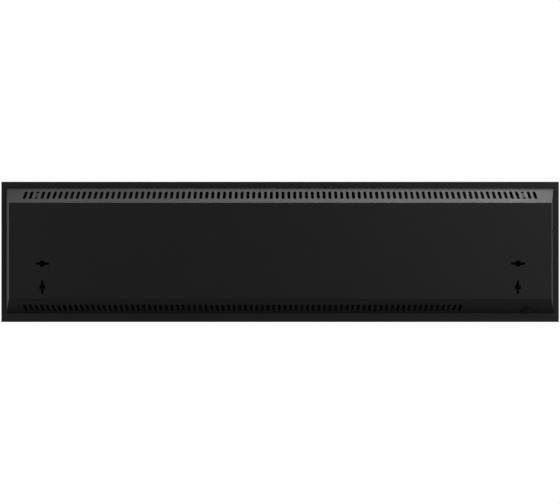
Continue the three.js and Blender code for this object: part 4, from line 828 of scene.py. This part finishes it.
def rocker_face(side):
    """Places a plate on one of the rocker's two sloping faces."""
    pivot, axis = (Vector(joint("rocker_tilt")[key]) for key in ("pos_m", "axis"))
    up = Vector((0.0, 0.0, 1.0))
    basis = Matrix((axis.cross(up), axis, up)).transposed().to_4x4()
    rest = Matrix.Rotation(math.radians(ROCKER_TILT), 4, "Y")
    holder = Matrix.Translation(pivot) @ basis @ rest
    lean = math.atan2(ROCKER_CREST - ROCKER_END, ROCKER_HALF)

    def place(u, v, w):
        run = ROCKER_HALF / 2 + v
        depth = ROCKER_CREST - math.sin(lean) * run - math.cos(lean) * w
        along = math.cos(lean) * run - math.sin(lean) * w
        return holder @ Vector((depth, u, side * along))

    return place


# Fan motor's winding and bobbin
WIRE = 0.9 * MM
WIRE_SIDES = 6
WINDING_RADIUS = 3 * MM
BOBBIN_CHEEK = 1 * MM
BOBBIN_DEPTH = 2.6 * MM


def winding(low, high):
    """A helix of enamelled wire round a bobbin: the coil between its two cheeks."""
    turns = int((high.x - low.x - 2 * BOBBIN_CHEEK) / WIRE)
    half = WIRE / 2
    ring = rounded(low.y + half, high.y - half, low.z + half, high.z - half, WINDING_RADIUS, 3)
    steps = len(ring)
    rings = turns * steps
    start = (low.x + high.x) / 2 - turns * WIRE / 2
    centre = Vector((0.0, (low.y + high.y) / 2, (low.z + high.z) / 2))
    vertices, faces = [], []
    for s in range(rings + 1):
        y, z = ring[s % steps]
        outwards = (Vector((0.0, y, z)) - centre).normalized()
        for k in range(WIRE_SIDES):
            a = math.tau * k / WIRE_SIDES
            swing = outwards * math.cos(a) + Vector((1.0, 0.0, 0.0)) * math.sin(a)
            vertices.append(Vector((start + WIRE * s / steps, y, z)) + swing * WIRE * 0.5)
    for s in range(rings):
        a, b = s * WIRE_SIDES, (s + 1) * WIRE_SIDES
        for k in range(WIRE_SIDES):
            n = (k + 1) % WIRE_SIDES
            faces.append((a + k, a + n, b + n, b + k))
    faces.append(tuple(range(WIRE_SIDES)))
    faces.append(tuple(rings * WIRE_SIDES + k for k in range(WIRE_SIDES)))
    return vertices, faces


def bobbin(low, high):
    """A square tube with a cheek at either end."""
    cheek = BOBBIN_CHEEK
    outer, inner, core = (
        rounded(low.y + inset, high.y - inset, low.z + inset, high.z - inset, radius)
        for inset, radius in (
            (0.0, 2 * MM),
            (BOBBIN_DEPTH, 1 * MM),
            (BOBBIN_DEPTH + cheek, 0.5 * MM),
        )
    )
    return joined(
        plates([[rim, core]], lambda u, v, w, x=x: Vector((x + w, u, v)), depth)
        for x, rim, depth in (
            (low.x, outer, cheek),
            (high.x - cheek, outer, cheek),
            (low.x + cheek, inner, high.x - low.x - 2 * cheek),
        )
    )


# Stage
TOP_ROWS = (
    # how far each row hangs towards the wall, and its lamps' power in watts from -X on
    ("overhead", -0.22, (6.9, 8.6, 8.0, 6.4, 5.5)),
    ("room_top", -0.42, (9.2, 2.9, 2.1)),
    ("wall_top", 0.3, (3.7,)),
)
# For each lamp its place, what it is aimed at, width and height of the diffuser, and watts
LAMPS = {
    f"{row}_{i + 1}": ((i / 2 - 1, depth, 1.1), (0.4 * i - 0.8, -0.04, 0.18), (0.5, 0.25), watts)
    for row, depth, powers in TOP_ROWS
    for i, watts in enumerate(powers)
}
LAMPS |= {
    "wall_top_2": ((0.0, 0.3, 1.1), (0.0, -0.04, 0.18), (1.5, 0.25), 2.5),
    "side": ((1.9, -0.02, -0.05), (0.88, -0.04, -0.05), (0.6, 0.12), 14.0),
    "wall_near_end": ((-2.2, 2.6, 0.3), (-0.44, 0.0, 0.0), (1.0, 1.0), 32.0),
    "wall_middle": ((-1.0, 3.2, 0.3), (-0.2, 0.0, 0.0), (1.0, 1.0), 12.0),
    "wall_far_end": ((2.2, 2.6, 0.3), (0.44, 0.0, 0.0), (1.0, 1.0), 15.5),
    "room_side": ((1.9, -2.0, 0.1), (0.6, 0.0, 0.0), (0.8, 0.8), 10.5),
}
WORLD_FILL = 0.03
FLOOR_RADIUS = 2.2
FLOOR_FADE = (1.3, 2.15)
FLOOR_PALENESS = 0.6


def make_camera():
    """Level with the fireplace, square to its rear panel."""
    stage = bpy.context.scene.fireplace_stage
    data = bpy.data.cameras.new("camera")
    away = stage.camera_distance + CASING_DEPTH
    data.angle = 2 * math.atan(stage.view_width / 2 / away)
    data.clip_start, data.clip_end = 0.05, 100.0
    camera = shown("camera", data)
    camera.location = (stage.camera_aside, stage.camera_distance, -stage.camera_height)
    camera.rotation_euler = (math.radians(90), 0.0, math.radians(180))
    bpy.context.scene.camera = camera


def make_lights():
    """Soft boxes over the casing and the room, beside one end, before the rear and in the room."""
    for name, (place, target, size, watts) in LAMPS.items():
        data = bpy.data.lights.new(name, "AREA")
        data.shape = "RECTANGLE"
        data.size, data.size_y = size
        data.energy = watts
        lamp = shown(name, data)
        lamp.location = place
        lamp.rotation_mode = "QUATERNION"
        lamp.rotation_quaternion = (Vector(target) - Vector(place)).to_track_quat("-Z", "Y")
        lamp.visible_camera = False
        # No lamp glints through the pane's edge, and the pane mirrors the plain room
        lamp.visible_transmission = False
        lamp.visible_glossy = name != "room_side"


def shown_rays(tree):
    """1 for what the camera sees straight, mirrored or through glass, and 1 for it straight alone."""
    path = add(tree, "ShaderNodeLightPath").outputs
    straight = path["Is Camera Ray"]
    seen = add(tree, MATH, {0: straight, 1: path["Is Glossy Ray"]}, operation="MAXIMUM")
    through = path["Is Transmission Ray"]
    return add(tree, MATH, {0: seen, 1: through}, operation="MAXIMUM"), straight


def make_world():
    """White to the camera, in reflections and through glass, and a faint fill for the rest."""
    world = bpy.data.worlds.new("studio")
    world.use_nodes = True
    tree = world.node_tree
    tree.nodes.clear()
    levels = {"Value": shown_rays(tree)[0], "To Min": WORLD_FILL, "To Max": 1.0}
    strength = add(tree, MAP_RANGE, levels)
    light = add(tree, "ShaderNodeBackground", {"Color": "#ffffff", "Strength": strength})
    add(tree, "ShaderNodeOutputWorld", {"Surface": light})
    bpy.context.scene.world = world


def studio_floor(tree, place):
    """A pale painted floor, paler to the camera, that fades to white towards its rim."""
    away = add(tree, VECTOR_MATH, {0: place}, operation="LENGTH")
    fade = {"Value": away, "From Min": FLOOR_FADE[0], "From Max": FLOOR_FADE[1]}
    rim = add(tree, MAP_RANGE, fade, interpolation_type="SMOOTHSTEP")
    shown, straight = shown_rays(tree)
    faded = add(tree, MATH, {0: rim, 1: shown}, operation="MULTIPLY")
    pale = add(tree, MATH, {0: straight, 1: FLOOR_PALENESS}, operation="MULTIPLY")
    white = add(tree, MATH, {0: faded, 1: pale}, operation="MAXIMUM")
    paint = add(tree, "ShaderNodeBsdfDiffuse", {"Color": "#9c9c9c"})
    glow = add(tree, "ShaderNodeEmission", {"Color": "#ffffff", "Strength": 1.0})
    return add(tree, "ShaderNodeMixShader", {0: white, 1: paint, 2: glow})


def make_floor():
    """A round pale floor well below the fireplace."""
    work = bmesh.new()
    bmesh.ops.create_circle(work, cap_ends=True, radius=FLOOR_RADIUS, segments=96)
    mesh = bpy.data.meshes.new("floor")
    work.to_mesh(mesh)
    work.free()
    mesh.materials.append(dressed(studio_floor))
    floor = shown("floor", mesh)
    floor.location.z = -bpy.context.scene.fireplace_stage.floor_depth


# Operators
class FIREPLACE_OT_stage(bpy.types.Operator):
    """Set up the camera, the lamps, the world and the floor"""

    bl_idname = "fireplace.stage"
    bl_label = "Stage"

    def execute(self, context):
        make_camera()
        make_lights()
        make_world()
        make_floor()
        context.scene.view_settings.view_transform = "Standard"
        return {"FINISHED"}


class FIREPLACE_OT_finishes(bpy.types.Operator):
    """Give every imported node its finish"""

    bl_idname = "fireplace.finishes"
    bl_label = "Finishes"

    def execute(self, context):
        made = {slot: dressed(finish) for slot, finish in SLOT_FINISHES.items()}
        for finish in EXTRA_FINISHES:
            dressed(finish)
        for name, node in frame["nodes"].items():
            slot = node.data.materials[0].name.split(".")[0]
            # Stove black on these nodes is partly painted shade for the view through the slots and
            # keyholes
            node.data.materials[0] = made["inner_black" if name in STOVE_BLACK_SHADE_NODES else slot]
        return {"FINISHED"}


class FIREPLACE_OT_casing_screws(bpy.types.Operator):
    """Add the two screws that interrupt a slot near either end of the upper wall"""

    bl_idname = "fireplace.casing_screws"
    bl_label = "Casing screws"

    def execute(self, context):
        wall = math.hypot(CASING_DEPTH, TOP_TAPER)
        share = SCREW_ALONG_WALL / wall
        facing = Vector((0.0, TOP_TAPER, CASING_DEPTH)) / wall
        places = [
            (x, -CASING_DEPTH * share, REAR_HALF_HEIGHT + TOP_TAPER * share)
            for x in (-SCREW_FROM_CENTRE, SCREW_FROM_CENTRE)
        ]
        head = settings().screw_head
        screws("casing_screws", places, facing, head, sides=20, slot="coated_steel")
        return {"FINISHED"}


class FIREPLACE_OT_inner_screws(bpy.types.Operator):
    """Add the screws of the boards and the terminal block"""

    bl_idname = "fireplace.inner_screws"
    bl_label = "Inner screws"

    def execute(self, context):
        places = corners("main_board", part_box("main_board")[0].z + BOARD_RISE)
        places += corners("light_driver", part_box("light_driver")[1].z)
        low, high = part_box("terminal_block")
        pitch = (high.x - low.x) / TERMINAL_POLES
        places += [
            (low.x + pitch * (i + 0.5), y, high.z)
            for i in range(TERMINAL_POLES)
            for y in (low.y + SCREW_INSET, high.y - SCREW_INSET)
        ]
        head = settings().board_screw_head
        screws("inner_screws", places, (0.0, 0.0, 1.0), head, sides=12, slot="zinc_steel")
        return {"FINISHED"}


class FIREPLACE_OT_crystals(bpy.types.Operator):
    """Heap glass chips in the ember tray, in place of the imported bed"""

    bl_idname = "fireplace.crystals"
    bl_label = "Crystals"

    def execute(self, context):
        low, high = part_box("crystal_bed")
        size = settings().crystal
        reach = size * CHIP_REACH
        values = {
            "Length": high.x - low.x - 2 * reach,
            "Depth": high.y - low.y - 2 * reach,
            "Spacing": settings().crystal_spacing,
            "Size": size,
            "Rise": max(high.z - low.z - size * CHIP_DEPTH, 0.0),
            "Seed": SEED,
        }
        place = middle(low, high, low.z + reach)
        mesh = grown(crystal_tree(), values, "cast_glass_chips", place)
        piece("glass_crystals", mesh, ["crystal_bed"])
        return {"FINISHED"}


class FIREPLACE_OT_lamps(bpy.types.Operator):
    """Fit the rows of lamps on the two light boards"""

    bl_idname = "fireplace.lamps"
    bl_label = "Lamps"

    def execute(self, context):
        tree = lamp_tree()
        pitch = settings().lamp_pitch
        for row in ("ember", "flame"):
            low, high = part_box(f"{row}_light_board")
            values = {
                "Length": high.x - low.x - 2 * pitch,
                "Pitch": pitch,
                "Side": LAMP_SIDE,
                "Height": LAMP_HEIGHT,
                "Well": LAMP_WELL,
            }
            place = middle(low, high, high.z)
            for part, filled, material in (
                ("housings", False, "white_nylon"),
                ("phosphors", True, "lamp_phosphor"),
            ):
                mesh = grown(tree, {**values, "Filled": filled}, material, place)
                piece(f"{row}_lamp_{part}", mesh)
        return {"FINISHED"}


class FIREPLACE_OT_heater_fins(bpy.types.Operator):
    """Fit two rows of corrugated fins inside the heating element"""

    bl_idname = "fireplace.heater_fins"
    bl_label = "Heater fins"

    def execute(self, context):
        low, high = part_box("heating_element")
        bay = (high.z - low.z - 3 * RAIL) / 2
        tree = fin_tree()
        values = {
            "Length": high.x - low.x - 4 * RAIL,
            "Pitch": settings().fin_pitch,
            "Depth": high.y - low.y - RAIL / 2,
            "Height": bay,
            "Sheet": FIN_SHEET,
        }
        for name, foot in (("lower", low.z + RAIL), ("upper", (low.z + high.z) / 2 + RAIL / 2)):
            place = middle(low, high, foot + bay / 2)
            mesh = grown(tree, values, "mill_finish_aluminium", place)
            piece(f"heater_fins_{name}", mesh)
        return {"FINISHED"}


class FIREPLACE_OT_outlet_seals(bpy.types.Operator):
    """Close the grille's two ends with foam, where it reaches past the duct"""

    bl_idname = "fireplace.outlet_seals"
    bl_label = "Outlet seals"

    def execute(self, context):
        low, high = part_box("outlet_grille")
        duct_low, duct_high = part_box("blower_scroll")
        inset = SEAL_INSET
        front = high.y + inset / 4
        back = duct_low.y - inset / 4
        ends = ((low.x + inset, duct_low.x + inset), (duct_high.x - inset, high.x - inset))
        outlines = [[rounded(*end, low.z + inset, high.z - inset, CORNER_RADIUS)] for end in ends]
        shape = plates(outlines, upright(front), back - front)
        piece("outlet_seals", closed(shape, "neoprene_foam"))
        return {"FINISHED"}


class FIREPLACE_OT_glass_print(bpy.types.Operator):
    """Print the border and the touch marks on the glass"""

    bl_idname = "fireplace.glass_print"
    bl_label = "Print on the glass"

    def execute(self, context):
        print_border()
        print_touch_marks()
        return {"FINISHED"}


class FIREPLACE_OT_rocker_marks(bpy.types.Operator):
    """Raise the bar and the ring on the mains switch's two faces"""

    bl_idname = "fireplace.rocker_marks"
    bl_label = "Switch marks"

    def execute(self, context):
        bar = stroke([(0.0, -BAR_HALF), (0.0, BAR_HALF)], SWITCH_PEN)
        outer, inner = (arc(0.0, 0.0, radius, 0, 345, 23) for radius in (RING_OUTER, RING_INNER))
        shape = joined(
            plates([loops], rocker_face(side), SWITCH_RAISE)
            for side, loops in ((1, [bar]), (-1, [outer, inner]))
        )
        piece("rocker_marks", closed(shape, "white_nylon"), body="rocker")
        return {"FINISHED"}


class FIREPLACE_OT_winding(bpy.types.Operator):
    """Wind the fan motor's coil on its bobbin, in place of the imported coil"""

    bl_idname = "fireplace.winding"
    bl_label = "Motor winding"

    def execute(self, context):
        low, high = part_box("blower_motor_coil")
        mesh = closed(winding(low, high), "enamelled_wire")
        piece("motor_winding", mesh, ["blower_motor_coil"])
        # The cheeks touch the tube, so its doubles stay
        mesh = closed(bobbin(low, high), "white_nylon", merge=False)
        piece("motor_bobbin", mesh)
        return {"FINISHED"}


OPERATORS = (
    FIREPLACE_OT_stage,
    FIREPLACE_OT_finishes,
    FIREPLACE_OT_casing_screws,
    FIREPLACE_OT_inner_screws,
    FIREPLACE_OT_crystals,
    FIREPLACE_OT_lamps,
    FIREPLACE_OT_heater_fins,
    FIREPLACE_OT_outlet_seals,
    FIREPLACE_OT_glass_print,
    FIREPLACE_OT_rocker_marks,
    FIREPLACE_OT_winding,
)
GROUPS = {
    "fireplace_colours": FireplaceColours,
    "fireplace_sizes": FireplaceSizes,
    "fireplace_stage": FireplaceStage,
}


class FIREPLACE_PT_panel(bpy.types.Panel):
    """The steps that dress the fireplace, with their sizes and colours"""

    bl_idname = "FIREPLACE_PT_panel"
    bl_label = "Fireplace"
    bl_space_type = "VIEW_3D"
    bl_region_type = "UI"
    bl_category = "Fireplace"

    def draw(self, context):
        for name, group in GROUPS.items():
            box = self.layout.box()
            for key in group.__annotations__:
                box.prop(getattr(context.scene, name), key)
        for operator in OPERATORS:
            self.layout.operator(operator.bl_idname)


CLASSES = (*GROUPS.values(), *OPERATORS, FIREPLACE_PT_panel)


def register():
    for part in CLASSES:
        bpy.utils.register_class(part)
    for name, group in GROUPS.items():
        setattr(bpy.types.Scene, name, bpy.props.PointerProperty(type=group))


def unregister():
    for name in GROUPS:
        delattr(bpy.types.Scene, name)
    for part in reversed(CLASSES):
        bpy.utils.unregister_class(part)


def main():
    register()
    for operator in OPERATORS:
        name = operator.bl_idname.split(".")[1]
        getattr(bpy.ops.fireplace, name)()


if __name__ == "__main__":
    main()
